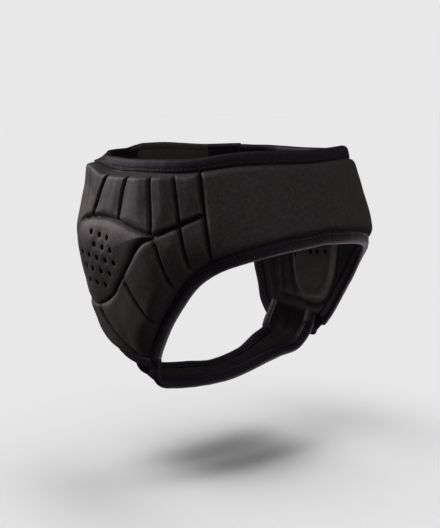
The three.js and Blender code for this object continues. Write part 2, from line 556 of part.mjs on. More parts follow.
// ------------------------------------------------------------------ back strap
const STRAP_ACROSS = 20, STRAP_DOWN = 2;
const strapGrid = [];
const rearAt = through([...REAR_EDGE].slice(0, 4).reverse(), "z", "q");
for (let j = 0; j <= STRAP_DOWN; j++) {
  const row = [], z = STRAP_TOP + (j / STRAP_DOWN) * (STRAP_BOTTOM - STRAP_TOP);
  const end = rearAt(Math.min(z, REAR_EDGE[0].z)) + STRAP_CLEAR;
  for (let i = 0; i <= STRAP_ACROSS; i++)
    row.push(new THREE.Vector2(end + (i / STRAP_ACROSS) * 2 * (HALF_ROUND - end), z));
  strapGrid.push(row);
}
const backStrap = shell(strapGrid, () => STRAP_INNER + STRAP_THICK, () => STRAP_INNER);

// ------------------------------------------------------------------ chin strap
const CHIN_GAP = 0.65;
const CHIN_EDGE = 1.5; // half thickness of the strap's edges under the tape
const halfChin = CHIN_WIDTH / 2 - CHIN_TAPE - FOLD, chinFlat = halfChin - CHIN_TAPE_DEPTH - GAP;
const chinCurve = new THREE.CatmullRomCurve3(CHIN_STATIONS.map((s) => new THREE.Vector3(s.x, s.y, s.z)), false, "centripetal");
const chinRise = through(CHIN_STATIONS.map((s, i) => ({ s: i / (CHIN_STATIONS.length - 1), back_up: s.back_up })), "s", "back_up");
const chinFlare = through(CHIN_STATIONS.map((s, i) => ({ s: i / (CHIN_STATIONS.length - 1), flare: s.flare })), "s", "flare");
const CHIN_STEPS = 40;
function chinPlaces() {
  const places = [];
  for (let k = 0; k <= CHIN_STEPS; k++) {
    const s = k / CHIN_STEPS, c = chinCurve.getPoint(s), along = chinCurve.getTangent(s);
    const rise = THREE.MathUtils.degToRad(chinRise(s));
    const back = new THREE.Vector3(0, Math.cos(rise), Math.sin(rise));
    back.addScaledVector(along, -back.dot(along)).normalize();
    const out = new THREE.Vector3().crossVectors(back, along).normalize(); // away from the chin
    if (out.z > 0.2 || (Math.abs(out.z) <= 0.2 && out.x * c.x < 0)) out.negate();
    const flare = chinFlare(s);
    places.push((across, lift) => c.clone().addScaledVector(back, across + flare * THREE.MathUtils.clamp(across / chinFlat, -1, 1)).addScaledVector(out, lift));
  }
  return places;
}
const chinSection = [
  [-halfChin, -CHIN_EDGE], [-chinFlat, -CHIN_EDGE], [0, -CHIN_THICK / 2], [chinFlat, -CHIN_EDGE], [halfChin, -CHIN_EDGE],
  [halfChin, CHIN_EDGE], [chinFlat, CHIN_EDGE], [0, CHIN_THICK / 2], [-chinFlat, CHIN_EDGE], [-halfChin, CHIN_EDGE],
].map(([x, y]) => new THREE.Vector2(x, y));
const chinStrap = sweep(chinPlaces(), chinSection);
const chinTape = (sign) => foldedTape(CHIN_EDGE, CHIN_GAP, CHIN_TAPE, CHIN_TAPE_DEPTH)
  .map((p) => new THREE.Vector2(sign * (halfChin - p.x), p.y));

// ------------------------------------------------------------------ assembly
const group = new THREE.Group();
function addPiece(name, geometry, finish) {
  const g = geometry.index ? geometry : mergeVertices(geometry);
  g.computeVertexNormals();
  const mesh = new THREE.Mesh(g, new THREE.MeshStandardMaterial(finish));
  mesh.name = name;
  group.add(mesh);
}
addPiece("forehead_panel", browPanel, FABRIC);
addPiece("ear_pad_right", padRight, FABRIC);
addPiece("ear_pad_left", mirrored(padRight), FABRIC);
addPiece("back_strap", backStrap, STRAP_CLOTH);
addPiece("top_binding", topBinding, TAPE_CLOTH);
addPiece("face_binding", faceBinding, TAPE_CLOTH);
addPiece("rear_binding_right", rearBinding, TAPE_CLOTH);
addPiece("rear_binding_left", mirrored(rearBinding), TAPE_CLOTH);
addPiece("chin_strap", chinStrap, STRAP_CLOTH);
addPiece("chin_binding_front", sweep(chinPlaces(), chinTape(-1)), TAPE_CLOTH);
addPiece("chin_binding_back", sweep(chinPlaces(), chinTape(1)), TAPE_CLOTH);

export default group;
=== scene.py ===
import math

import bpy
import numpy as np
from mathutils import Matrix, Vector


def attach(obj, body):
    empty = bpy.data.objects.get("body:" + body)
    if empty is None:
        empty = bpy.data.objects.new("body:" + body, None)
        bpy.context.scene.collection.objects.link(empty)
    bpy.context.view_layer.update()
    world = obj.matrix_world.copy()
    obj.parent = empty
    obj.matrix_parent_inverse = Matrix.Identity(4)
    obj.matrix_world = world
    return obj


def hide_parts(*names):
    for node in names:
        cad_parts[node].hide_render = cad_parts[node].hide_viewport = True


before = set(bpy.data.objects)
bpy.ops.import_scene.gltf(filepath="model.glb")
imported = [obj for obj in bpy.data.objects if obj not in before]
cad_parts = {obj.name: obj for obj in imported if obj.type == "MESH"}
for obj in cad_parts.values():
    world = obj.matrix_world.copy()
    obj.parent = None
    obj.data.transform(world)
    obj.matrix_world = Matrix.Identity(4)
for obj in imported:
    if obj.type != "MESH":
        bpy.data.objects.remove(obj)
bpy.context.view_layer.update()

MM = 0.001

# ---------------------------------------------------------------- sizes, millimetres
HALF_LENGTH, HALF_WIDTH = 100.0, 82.0
EDGE_HALF = 1.4
TAPE_DEPTH = 7.0
SEAM_GAP = 0.12
BROW_LIFT, BROW_INNER = 5.2, 3.0
SEAM_TOP_Q, FULL_Q, FRONT_SHARE = 78.6, 122.0, 0.56
HALF_CHIN, CHIN_EDGE, CHIN_TAPE_DEPTH = 10.9, 1.5, 6.0
STRAP_TOP, STRAP_BOTTOM, STRAP_CLEAR = 62.2, 13.0, 2.15
HOLE_DIAMETER, HOLE_PITCH, HOLE_RISE = 4.0, 8.8, 0.12

# z, width, length, power of the horizontal outline
BODY = np.array([
    (-100, 0.73, 0.81, 2.3), (-65, 0.92, 0.89, 2.3), (-30, 0.97, 0.99, 2.3),
    (0, 1.0, 1.0, 2.3), (30, 0.95, 0.93, 2.2), (62, 0.895, 0.862, 2.08)])
PAD_FACE = np.array([(-82, 6.5), (-55, 9.0), (-20, 10.5), (15, 10.5), (36, 11.2), (56, 10.6)])
UPPER_EDGE = np.array([(0, 56.0), (47, 56.7), (91, 53.1), (147, 53.4), (203, 55.8), (214.2, 56.1)])
FACE_EDGE = np.array([
    (0, 1.9), (30, -0.9), (55, -6.2), (72.8, -12.7), (88.2, -23.7), (104.4, -43.4), (118.8, -64.4), (132, -80)])
REAR_EDGE = np.array([
    (214.2, 56.1), (211.3, 26), (208.3, 0), (205, -25), (201.3, -48), (198.5, -64), (186, -76), (162, -81), (132, -80)])
# q0, z0, q1, z1, q2, z2, reach of the shoulder
GROOVES = [
    (96.3, 52, 94, 32, 92.5, 14.4, 3.0), (112.3, 52, 112, 30, 111, 7.3, 3.0), (129.2, 52, 138, 33, 142, 15, 3.0),
    (157.4, 52, 167, 35, 173, 16, 3.0), (186, 52, 185.5, 34, 185, 12.5, 3.0), (76.5, 20.8, 93, 14.2, 110.5, 7, 3.3),
    (92.3, 15, 90, 1, 85.4, -18, 2.8), (110, 7, 104, -11.5, 97.3, -33, 2.8), (140, -17.5, 132.2, -31.3, 115.5, -50, 3.1),
    (175.8, -40, 168.2, -55.2, 144.5, -71.2, 3.9)]
RING = [
    (110.5, 7), (124.5, 10.8), (137, 13.9), (149, 15.9), (162, 16.5), (175.5, 15.2), (187, 11), (195, 2), (197.5, -13), (197, -28),
    (192, -38), (182, -41), (169.5, -39), (155, -32), (145, -22.8), (138, -16), (129.5, -7), (124, -0.3), (117.5, 4.6)]
# front hole of each row, and the number of holes in it
HOLE_ROWS = [(151.8, 4.7, 3), (148.0, -2.0, 3), (146.0, -9.75, 5), (152.7, -17.2, 4), (160.5, -25.5, 3)]
# blind vents in the ear cushion
VENTS = np.array([(124.0, -20.5), (134.4, -21.5), (142.2, -22.0)])
# middle line of the chin strap, the rise of its back edge in degrees, and what each half is wider than at the chin
CHIN = np.array([
    (-68.4, 10, -63, 3, 0),
    (-62.4, 9.6, -78, 7, 0),
    (-62.4, 9.2, -87.5, 12, 0),
    (-58.4, 8.2, -92.6, 18, 0),
    (-49.5, 5.4, -94.1, 23.5, 0),
    (-34, 1.4, -95.3, 24, 0),
    (-12.3, -1.8, -95.9, 15, 0),
    (14.4, -1.2, -92, 14, 0),
    (36.5, 2.2, -86.3, 28, 1.2),
    (53.4, 5.4, -82.8, 25, 4.6),
    (61.8, 7.6, -73.4, 12, 10.6),
    (66.6, 6.8, -62.5, 4, 11.4)])


# ---------------------------------------------------------------- helpers
def through(x, y):
    """Monotone cubic through a table."""
    x, y = np.asarray(x, float), np.asarray(y, float)
    n, h = len(x), np.diff(x)
    d = np.diff(y) / h
    m = np.empty(n)
    m[0], m[-1] = d[0], d[-1]
    for i in range(1, n - 1):
        w1, w2 = 2 * h[i] + h[i - 1], h[i] + 2 * h[i - 1]
        m[i] = 0 if d[i - 1] * d[i] <= 0 else (w1 + w2) / (w1 / d[i - 1] + w2 / d[i])

    def f(v):
        v = np.asarray(v, float)
        i = np.clip(np.searchsorted(x, v) - 1, 0, n - 2)
        s = (v - x[i]) / h[i]
        a = 1 - s
        r = y[i] * a * a * (1 + 2 * s) + y[i + 1] * s * s * (3 - 2 * s) + h[i] * (m[i] * s * a * a - m[i + 1] * s * s * a)
        r = np.where(v < x[0], y[0] + m[0] * (v - x[0]), r)
        return np.where(v > x[-1], y[-1] + m[-1] * (v - x[-1]), r)
    return f


def smooth(a, b, x):
    s = np.clip((x - a) / (b - a), 0, 1)
    return s * s * (3 - 2 * s)


def softmin(a, b, k):
    h = np.clip(0.5 + 0.5 * (b - a) / k, 0, 1)
    return b + (a - b) * h - k * h * (1 - h)


def shoulder(d, reach):
    """Quarter round: steep at the foot, level with the top after reach."""
    x = np.clip(d / reach, 0, 1)
    return np.sqrt(1 - (1 - x) ** 2)


def unit(v):
    return v / np.maximum(np.linalg.norm(v, axis=-1, keepdims=True), 1e-12)


def catmull(points, per=40):
    p = np.asarray(points, float)
    n, t = len(p), np.linspace(0, 1, per, endpoint=False)[:, None]
    out = []
    for i in range(n - 1):
        p0, p1, p2, p3 = p[max(i - 1, 0)], p[i], p[i + 1], p[min(i + 2, n - 1)]
        v0, v1 = (p2 - p0) * 0.5, (p3 - p1) * 0.5
        out.append((2 * p1 - 2 * p2 + v0 + v1) * t ** 3 + (-3 * p1 + 3 * p2 - 2 * v0 - v1) * t ** 2 + v0 * t + p1)
    return np.concatenate(out + [p[-1:]])


def centripetal(points, s, closed=False):
    """Centripetal Catmull-Rom through the points, at shares s of the rows."""
    p = np.asarray(points, float)
    n = len(p)
    span = n if closed else n - 1
    x = np.asarray(s, float) * span
    i = np.clip(np.floor(x).astype(int), 0, span - 1)
    w = (x - i)[:, None]
    if closed:
        p0, p1, p2, p3 = p[(i - 1) % n], p[i % n], p[(i + 1) % n], p[(i + 2) % n]
    else:
        ext = np.concatenate([[2 * p[0] - p[1]], p, [2 * p[-1] - p[-2]]])
        p0, p1, p2, p3 = ext[i], ext[i + 1], ext[i + 2], ext[i + 3]
    d0, d1, d2 = [np.maximum((np.linalg.norm(b - a, axis=1) ** 0.5)[:, None], 1e-4) for a, b in ((p0, p1), (p1, p2), (p2, p3))]
    t1 = ((p1 - p0) / d0 - (p2 - p0) / (d0 + d1) + (p2 - p1) / d1) * d1
    t2 = ((p2 - p1) / d1 - (p3 - p1) / (d1 + d2) + (p3 - p2) / d2) * d1
    return p1 + t1 * w + (-3 * p1 + 3 * p2 - 2 * t1 - t2) * w ** 2 + (2 * p1 - 2 * p2 + t1 + t2) * w ** 3


class Line:
    """A polyline that is read by share of its length."""

    def __init__(self, points):
        self.p = np.asarray(points, float)
        self.l = np.concatenate([[0], np.cumsum(np.linalg.norm(np.diff(self.p, axis=0), axis=1))])
        self.length = self.l[-1]

    def at(self, s):
        x = np.asarray(s, float) * self.length
        return np.stack([np.interp(x, self.l, self.p[:, k]) for k in range(self.p.shape[1])], -1)

    def along(self, s, probe=0.004):
        s = np.asarray(s, float)
        return unit(self.at(np.minimum(1, s + probe)) - self.at(np.maximum(0, s - probe)))


def distance(line, pts):
    """Distance of each point to a polyline."""
    a, b = line[:-1], line[1:]
    d = b - a
    q = np.maximum((d * d).sum(1), 1e-12)
    out = np.empty(len(pts))
    for k in range(0, len(pts), 8000):
        c = pts[k:k + 8000, None, :] - a[None]
        t = np.clip((c * d[None]).sum(2) / q[None], 0, 1)
        out[k:k + 8000] = np.sqrt(((c - t[..., None] * d[None]) ** 2).sum(2).min(1))
    return out


def inside(loop, pts):
    x, y = pts[:, 0][:, None], pts[:, 1][:, None]
    a, b = loop, np.roll(loop, -1, 0)
    cross = ((a[:, 1] > y) != (b[:, 1] > y)) & (
        x < (b[:, 0] - a[:, 0]) * (y - a[:, 1]) / np.where(np.abs(b[:, 1] - a[:, 1]) < 1e-9, 1e-9, b[:, 1] - a[:, 1]) + a[:, 0])
    return cross.sum(1) % 2 == 1


def waves(seed, pts, sizes, height):
    """Slow unevenness: a fixed sum of sines."""
    rng = np.random.default_rng(seed)
    out = np.zeros(len(pts))
    for size in sizes:
        for _ in range(4):
            a, ph = rng.uniform(0, 2 * np.pi), rng.uniform(0, 2 * np.pi)
            out += np.sin((pts[:, 0] * np.cos(a) + pts[:, 1] * np.sin(a)) * 2 * np.pi / (size * rng.uniform(0.8, 1.25)) + ph)
    return height * out / (2 * math.sqrt(len(sizes)))


# ---------------------------------------------------------------- the head chart
width_at, length_at, power_at = [through(BODY[:, 0], BODY[:, k]) for k in (1, 2, 3)]
pad_face = through(PAD_FACE[:, 0], PAD_FACE[:, 1])
upper_edge = through(UPPER_EDGE[:, 0], UPPER_EDGE[:, 1])


def outline(t, z):
    e, s, c = 2 / power_at(z), np.sin(t), np.cos(t)
    return np.stack([
        -HALF_WIDTH * width_at(z) * np.sign(s) * np.abs(s) ** e,
        -HALF_LENGTH * length_at(z) * np.sign(c) * np.abs(c) ** e, z + 0 * t], -1)


_t = np.linspace(0, np.pi, 721)
_p = outline(_t, np.zeros_like(_t))
_l = np.concatenate([[0], np.cumsum(np.linalg.norm(np.diff(_p, axis=0), axis=1))])
HALF_ROUND = _l[-1]


def angle_at(q):
    a = np.abs(q)
    over = a > HALF_ROUND
    t = np.interp(np.where(over, 2 * HALF_ROUND - a, a), _l, _t)
    t = np.where(over, 2 * np.pi - t, t)
    return np.where(q < 0, -t, t)


def on_chart(q, z):
    return outline(angle_at(q), z)


def normal_at(q, z, probe=1.5):
    along = on_chart(q + probe, z) - on_chart(q - probe, z)
    up = on_chart(q, z + probe) - on_chart(q, z - probe)
    return unit(np.cross(up, along))


def lifted(q, z, lift):
    q, z = np.asarray(q, float), np.asarray(z, float)
    return on_chart(q, z) + normal_at(q, z) * np.asarray(lift, float)[..., None]


def swell(q, z, q0, z0, hq, hz, rise):
    """A low mound that runs out level at its foot."""
    u = np.clip(1 - ((q - q0) / hq) ** 2 - ((z - z0) / hz) ** 2, 0, 1)
    return rise * 1.25 * u * u / (u + 0.25)


def block_lift(q, z):
    """Tops of the moulded blocks."""
    return (pad_face(z) * (FRONT_SHARE + (1 - FRONT_SHARE) * smooth(SEAM_TOP_Q, FULL_Q, q))
            + swell(q, z, 186, -58, 40, 34, 2.0) + swell(q, z, 200, 26, 44, 52, 3.2) + swell(q, z, 192, -8, 40, 44, 2.6))


def flare(q):
    """How far the rear end of the upper edge opens out over the last block."""
    q = np.abs(q)
    return 6.2 * smooth(166, 196, q) * (1 - 0.92 * smooth(198, 212, q))


def lean(q):
    """How far the whole upper edge leans out beside the last block."""
    q = np.abs(q)
    return 2.0 * smooth(168, 188, q) * (1 - smooth(194, 212, q))


def drawn(q):
    """How much narrower the upper tape is drawn beside the last block."""
    q = np.abs(q)
    return 1 + 0.4 * smooth(170, 188, q) * (1 - smooth(200, 213, q))


face_line = Line(catmull(FACE_EDGE))
rear_line = Line(catmull(REAR_EDGE))
FACE_SEAM_AT = face_line.l[40 * 3] / face_line.length
seam_top = np.array([SEAM_TOP_Q, float(upper_edge(SEAM_TOP_Q))])
seam_foot = FACE_EDGE[3]
_q = np.linspace(0, 214.2, 160)
top_half = np.stack([_q, upper_edge(_q)], -1)


# ---------------------------------------------------------------- materials
def material(name):
    m = bpy.data.materials.new(name)
    m.use_nodes = True
    m.node_tree.nodes.clear()
    return m, m.node_tree.nodes, m.node_tree.links


def cloth_material(name, dark, light, roughness, sheen, sheen_tint, pitch, rib, bump, rib_height, wear_and_highlight_colour=None, spec=0.3):
    """Cloth by its weave coordinates in millimetres: a knit of two crossing waves, slow tone changes, a lighter colour
    by a per-point attribute that is rubbed wear on most pieces and a painted highlight on the ear cushion's bevel and
    on the near face tape's fold, and painted shade that darkens the creases by a second attribute.
    """
    m, nodes, links = material(name)

    def node(kind, **values):
        n = nodes.new(kind)
        for k, v in values.items():
            setattr(n, k, v)
        return n

    def math_node(op, a, b=None):
        n = node("ShaderNodeMath", operation=op)
        for i, v in enumerate((a, b)):
            if v is None:
                continue
            if isinstance(v, (int, float)):
                n.inputs[i].default_value = v
            else:
                links.new(v, n.inputs[i])
        return n.outputs[0]

    out = node("ShaderNodeOutputMaterial")
    bsdf = node("ShaderNodeBsdfPrincipled")
    links.new(bsdf.outputs[0], out.inputs["Surface"])
    weave = node("ShaderNodeAttribute", attribute_name="weave")
    split = node("ShaderNodeSeparateXYZ")
    links.new(weave.outputs["Vector"], split.inputs[0])
    place = node("ShaderNodeTexCoord")

    # slow drift of the yarns
    drift = node("ShaderNodeTexNoise")
    drift.inputs["Scale"].default_value = 120.0
    drift.inputs["Detail"].default_value = 2.0
    links.new(place.outputs["Object"], drift.inputs["Vector"])
    bend = math_node("MULTIPLY", drift.outputs[0], 1.6)

    u = math_node("MULTIPLY", split.outputs[0], 2 * math.pi / pitch)
    v = math_node("MULTIPLY", split.outputs[1], 2 * math.pi / (pitch * rib))
    half_u = math_node("MULTIPLY", u, 0.5)
    wale = math_node("ABSOLUTE", math_node("SINE", math_node("ADD", half_u, bend)))
    lean = math_node("MULTIPLY", math_node("SINE", u), 0.9)
    course = math_node("SINE", math_node("ADD", math_node("ADD", v, lean), bend))
    knit = math_node("ADD", math_node("MULTIPLY", wale, 0.6), math_node("MULTIPLY", course, 0.4))

    fuzz = node("ShaderNodeTexNoise")
    fuzz.inputs["Scale"].default_value = 2600.0
    fuzz.inputs["Detail"].default_value = 3.0
    links.new(place.outputs["Object"], fuzz.inputs["Vector"])
    height = math_node("ADD", knit, math_node("MULTIPLY", fuzz.outputs[0], 0.7))

    grain = node("ShaderNodeTexNoise")
    grain.inputs["Scale"].default_value = 520.0
    grain.inputs["Detail"].default_value = 3.0
    grain.inputs["Roughness"].default_value = 0.7
    links.new(place.outputs["Object"], grain.inputs["Vector"])
    height = math_node("ADD", height, math_node("MULTIPLY", grain.outputs[0], 1.6))

    tone = node("ShaderNodeTexNoise")
    tone.inputs["Scale"].default_value = 28.0
    tone.inputs["Detail"].default_value = 4.0
    tone.inputs["Roughness"].default_value = 0.6
    links.new(place.outputs["Object"], tone.inputs["Vector"])
    share = math_node("ADD", math_node("MULTIPLY", tone.outputs[0], 0.75), math_node("MULTIPLY", knit, 0.22))
    share = math_node("ADD", share, math_node("MULTIPLY", fuzz.outputs[0], 0.2))
    share = math_node("ADD", share, math_node("MULTIPLY", math_node("SUBTRACT", grain.outputs[0], 0.5), 1.1))
    ramp = node("ShaderNodeValToRGB")
    ramp.color_ramp.elements[0].position, ramp.color_ramp.elements[1].position = 0.3, 0.9
    ramp.color_ramp.elements[0].color = (*dark, 1)
    ramp.color_ramp.elements[1].color = (*light, 1)
    links.new(share, ramp.inputs[0])
    colour = ramp.outputs[0]
    # the lighter colour is rubbed wear, and on the ear cushion's bevel and the near face tape's fold it is a painted
    # highlight
    if wear_and_highlight_colour is not None:
        edge = node("ShaderNodeAttribute", attribute_name="edge")
        rub_and_highlight = node("ShaderNodeTexNoise")
        rub_and_highlight.inputs["Scale"].default_value = 90.0
        rub_and_highlight.inputs["Detail"].default_value = 5.0
        links.new(place.outputs["Object"], rub_and_highlight.inputs["Vector"])
        amount = math_node("MULTIPLY", edge.outputs["Fac"], math_node("MULTIPLY", rub_and_highlight.outputs[0], 0.9))
        mix = node("ShaderNodeMix", data_type="RGBA")
        links.new(amount, mix.inputs["Factor"])
        links.new(colour, mix.inputs["A"])
        mix.inputs["B"].default_value = (*wear_and_highlight_colour, 1)
        colour = mix.outputs["Result"]
    # painted shade: the crease mask pulls the colour toward near-black and dulls the gloss in the groove bottoms, the
    # ring groove and along the seam
    crease_shade = node("ShaderNodeAttribute", attribute_name="crease_shade")
    sunk = node("ShaderNodeMix", data_type="RGBA")
    links.new(crease_shade.outputs["Fac"], sunk.inputs["Factor"])
    links.new(colour, sunk.inputs["A"])
    sunk.inputs["B"].default_value = (*(0.22 * c for c in dark), 1)
    links.new(sunk.outputs["Result"], bsdf.inputs["Base Color"])
    gloss = math_node("MULTIPLY", math_node("SUBTRACT", 1.0, math_node("MULTIPLY", crease_shade.outputs["Fac"], 0.85)), spec)
    gloss = math_node("MULTIPLY", gloss, math_node("ADD", 0.25, math_node("MULTIPLY", grain.outputs[0], 1.5)))
    links.new(gloss, bsdf.inputs["Specular IOR Level"])

    rough = node("ShaderNodeMapRange")
    rough.inputs["To Min"].default_value = roughness - 0.08
    rough.inputs["To Max"].default_value = roughness + 0.1
    links.new(tone.outputs[0], rough.inputs["Value"])
    links.new(rough.outputs[0], bsdf.inputs["Roughness"])
    bsdf.inputs["Sheen Weight"].default_value = sheen
    bsdf.inputs["Sheen Roughness"].default_value = 0.45
    bsdf.inputs["Sheen Tint"].default_value = (*sheen_tint, 1)

    b = node("ShaderNodeBump")
    b.inputs["Strength"].default_value = bump
    b.inputs["Distance"].default_value = rib_height * MM
    links.new(height, b.inputs["Height"])
    links.new(b.outputs[0], bsdf.inputs["Normal"])
    return m


PAD_CLOTH = cloth_material("pad_knit", (0.0125, 0.0102, 0.0103), (0.0235, 0.0192, 0.0190), 0.56, 0.10, (0.9, 0.84, 0.82), 0.62, 1.15, 0.4, 0.08, wear_and_highlight_colour=(0.042, 0.037, 0.0355), spec=0.55)
STRAP_CLOTH = cloth_material("strap_knit", (0.0115, 0.0096, 0.0093), (0.0215, 0.0180, 0.0172), 0.62, 0.10, (0.9, 0.84, 0.82), 0.7, 0.9, 0.45, 0.09, wear_and_highlight_colour=(0.036, 0.032, 0.031), spec=0.45)
# painted light: the back strap's cloth is a copy of the strap cloth about three times lighter
BACK_CLOTH_LIGHTENED = cloth_material("back_knit_lightened", (0.0345, 0.0290, 0.0279), (0.0621, 0.0523, 0.0501), 0.64, 0.12, (0.9, 0.84, 0.82), 0.7, 0.9, 0.45, 0.09, wear_and_highlight_colour=(0.042, 0.037, 0.036), spec=0.4)
# the cushion's very light worn colour is a painted highlight on its bevel
CUSHION = cloth_material("cushion_knit", (0.0120, 0.0101, 0.0098), (0.0225, 0.0188, 0.0180), 0.66, 0.10, (0.9, 0.84, 0.82), 0.7, 1.0, 0.4, 0.08, wear_and_highlight_colour=(0.150, 0.142, 0.142), spec=0.35)
# painted shade: a darker copy of the strap cloth, for the chin strap's inner face
STRAP_CLOTH_SHADED = cloth_material("strap_knit_shaded", (0.0068, 0.0058, 0.0059), (0.0136, 0.0116, 0.0116), 0.62, 0.06, (0.9, 0.86, 0.86), 0.7, 0.9, 0.45, 0.09, spec=0.34)
LINING = cloth_material("lining_knit", (0.0028, 0.0027, 0.0031), (0.0056, 0.0054, 0.0062), 0.68, 0.03, (0.85, 0.85, 0.9), 0.7, 1.0, 0.4, 0.08, spec=0.22)
# the tape's lighter worn colour is rubbed wear, and on the near face tape's fold a painted highlight
TAPE_CLOTH = cloth_material("binding_rib", (0.0042, 0.0030, 0.0066), (0.0088, 0.0062, 0.0132), 0.58, 0.05, (0.78, 0.68, 1.0), 0.6, 2.4, 0.5, 0.1, wear_and_highlight_colour=(0.100, 0.094, 0.100), spec=0.22)
THREAD = cloth_material("thread", (0.006, 0.0054, 0.0072), (0.015, 0.0136, 0.0172), 0.5, 0.06, (0.85, 0.82, 1.0), 0.35, 1.0, 0.5, 0.05, spec=0.4)


# ---------------------------------------------------------------- meshes
def volume_of(v, f):
    a, b, c = v[f[:, 0]], v[f[:, 1]], v[f[:, 2]]
    total = np.einsum("ij,ij->i", a, np.cross(b, c)).sum()
    if f.shape[1] == 4:
        total += np.einsum("ij,ij->i", a, np.cross(c, v[f[:, 3]])).sum()
    return total / 6


class Mesh:
    """Points, faces and per-point values gathered for one piece, in millimetres."""

    def __init__(self):
        self.v, self.f, self.m, self.weave, self.edge, self.crease_shade = [], [], [], [], [], []
        self.count = 0

    def add(self, v, faces, mat=0, weave=None, edge=None, crease_shade=None):
        v = np.asarray(v, float).reshape(-1, 3)
        n = len(v)
        self.v.append(v)
        w = np.zeros((n, 3))
        if weave is not None:
            w[:, :2] = np.asarray(weave, float).reshape(-1, 2)
        self.weave.append(w)
        self.edge.append(np.zeros(n) if edge is None else np.asarray(edge, float).ravel())
        self.crease_shade.append(np.zeros(n) if crease_shade is None else np.asarray(crease_shade, float).ravel())
        for fs in faces if isinstance(faces, list) else [faces]:
            fs = np.asarray(fs, int)
            self.f.append(fs + self.count)
            self.m.append(np.full(len(fs), mat) if np.isscalar(mat) else np.asarray(mat))
        self.count += n
        return self

    def build(self, name, materials, sharp=60):
        v = np.concatenate(self.v) * MM
        faces = [tuple(r) for f in self.f for r in f.tolist()]
        me = bpy.data.meshes.new(name)
        me.from_pydata(v.tolist(), [], faces)
        me.validate()
        for m in materials:
            me.materials.append(m)
        me.polygons.foreach_set("material_index", np.concatenate(self.m).astype(np.int32))
        a = me.attributes.new("weave", "FLOAT_VECTOR", "POINT")
        a.data.foreach_set("vector", np.concatenate(self.weave).astype(np.float32).ravel())
        a = me.attributes.new("edge", "FLOAT", "POINT")
        a.data.foreach_set("value", np.concatenate(self.edge).astype(np.float32))
        a = me.attributes.new("crease_shade", "FLOAT", "POINT")
        a.data.foreach_set("value", np.concatenate(self.crease_shade).astype(np.float32))
        finish_mesh(me, sharp)
        o = bpy.data.objects.new(name, me)
        bpy.context.scene.collection.objects.link(o)
        return o


def finish_mesh(me, sharp):
    me.polygons.foreach_set("use_smooth", np.ones(len(me.polygons), bool))
    me.set_sharp_from_angle(angle=math.radians(sharp))
    me.update()


def grid_faces(rows, cols, start=0, flip=False):
    k = np.arange((rows - 1) * (cols - 1))
    j, i = k // (cols - 1), k % (cols - 1)
    a = start + j * cols + i
    f = np.stack([a, a + 1, a + cols + 1, a + cols], -1)
    return f[:, ::-1] if flip else f


def shell_faces(rows, cols):
    """Two grids, joined round the rim: outer first."""
    n = rows * cols
    out, inn = grid_faces(rows, cols), grid_faces(rows, cols, n, True)
    rim = []
    top, bottom = np.arange(cols), (rows - 1) * cols + np.arange(cols)
    left, right = np.arange(rows) * cols, np.arange(rows) * cols + cols - 1
    for e, turn in ((top, True), (bottom, False), (left, False), (right, True)):
        f = np.stack([e[:-1], e[1:], e[1:] + n, e[:-1] + n], -1)
        rim.append(f[:, ::-1] if turn else f)
    return out, inn, np.concatenate(rim)


def coons(top, foot, front, rear, rows, cols):
    """Chart points of a four-sided patch. top and foot run front to rear, front and rear top to foot."""
    u, v = np.linspace(0, 1, cols), np.linspace(0, 1, rows)
    T, F, L, R = top(u), foot(u), front(v), rear(v)
    L = L + (T[0] - L[0]) * (1 - v)[:, None] + (F[0] - L[-1]) * v[:, None]
    R = R + (T[-1] - R[0]) * (1 - v)[:, None] + (F[-1] - R[-1]) * v[:, None]
    U, V = u[None, :, None], v[:, None, None]
    return ((1 - V) * T[None] + V * F[None] + (1 - U) * L[:, None] + U * R[:, None]
            - (1 - U) * (1 - V) * T[0] - U * (1 - V) * T[-1] - (1 - U) * V * F[0] - U * V * F[-1])


def oriented(v, faces):
    """Turns all faces round if the closed mesh faces in."""
    if sum(volume_of(v, f) for f in faces) < 0:
        return [f[:, ::-1] for f in faces]
    return faces


STITCH_RING = 6
_a = np.linspace(0, 2 * np.pi, STITCH_RING, endpoint=False)
STITCH_V = np.concatenate([[[-1, 0, 0]]] + [np.stack([np.full(STITCH_RING, x), r * np.cos(_a), r * np.sin(_a)], -1) for x, r in ((-0.82, 0.6), (-0.3, 1.0), (0.3, 1.0), (0.82, 0.6))] + [[[1, 0, 0]]])


def _stitch_faces():
    n, f3, f4 = STITCH_RING, [], []
    for i in range(n):
        j = (i + 1) % n
        f3.append((0, 1 + j, 1 + i))
        last = 1 + 3 * n
        f3.append((last + n, last + i, last + j))
        for k in range(3):
            a = 1 + k * n
            f4.append((a + i, a + j, a + n + j, a + n + i))
    return np.array(f3), np.array(f4)


STITCH_F3, STITCH_F4 = _stitch_faces()


def stitches(mesh, points, normals, pitch=3.1, length=2.15, radius=0.3, sink=0.1, mat=1):
    """A row of thread stitches along a line of points, lying on the cloth."""
    line = Line(points)
    n = max(1, int(line.length / pitch))
    mid = (np.arange(n) + 0.5) / n
    p, x = line.at(mid), line.along(mid, 1.0 / line.length)
    up = unit(np.stack([np.interp(mid * line.length, line.l, normals[:, k]) for k in range(3)], -1))
    up = unit(up - x * (up * x).sum(-1, keepdims=True))
    y = np.cross(up, x)
    t = STITCH_V * np.array([length / 2, radius, radius * 0.8])
    v = (p[:, None] + up[:, None] * (radius * 0.8 - sink)
         + t[None, :, 0:1] * x[:, None] + t[None, :, 1:2] * y[:, None] + (t[None, :, 2:3] - 0.25 * radius * (STITCH_V[None, :, 0:1] ** 2)) * up[:, None])
    k = len(STITCH_V)
    base = (np.arange(n) * k)[:, None, None]
    weave = np.stack([t[None, :, 0] + 0 * base[:, :, 0], t[None, :, 1] + 0 * base[:, :, 0]], -1)
    mesh.add(v, [(STITCH_F3[None] + base).reshape(-1, 3), (STITCH_F4[None] + base).reshape(-1, 4)], mat, weave)


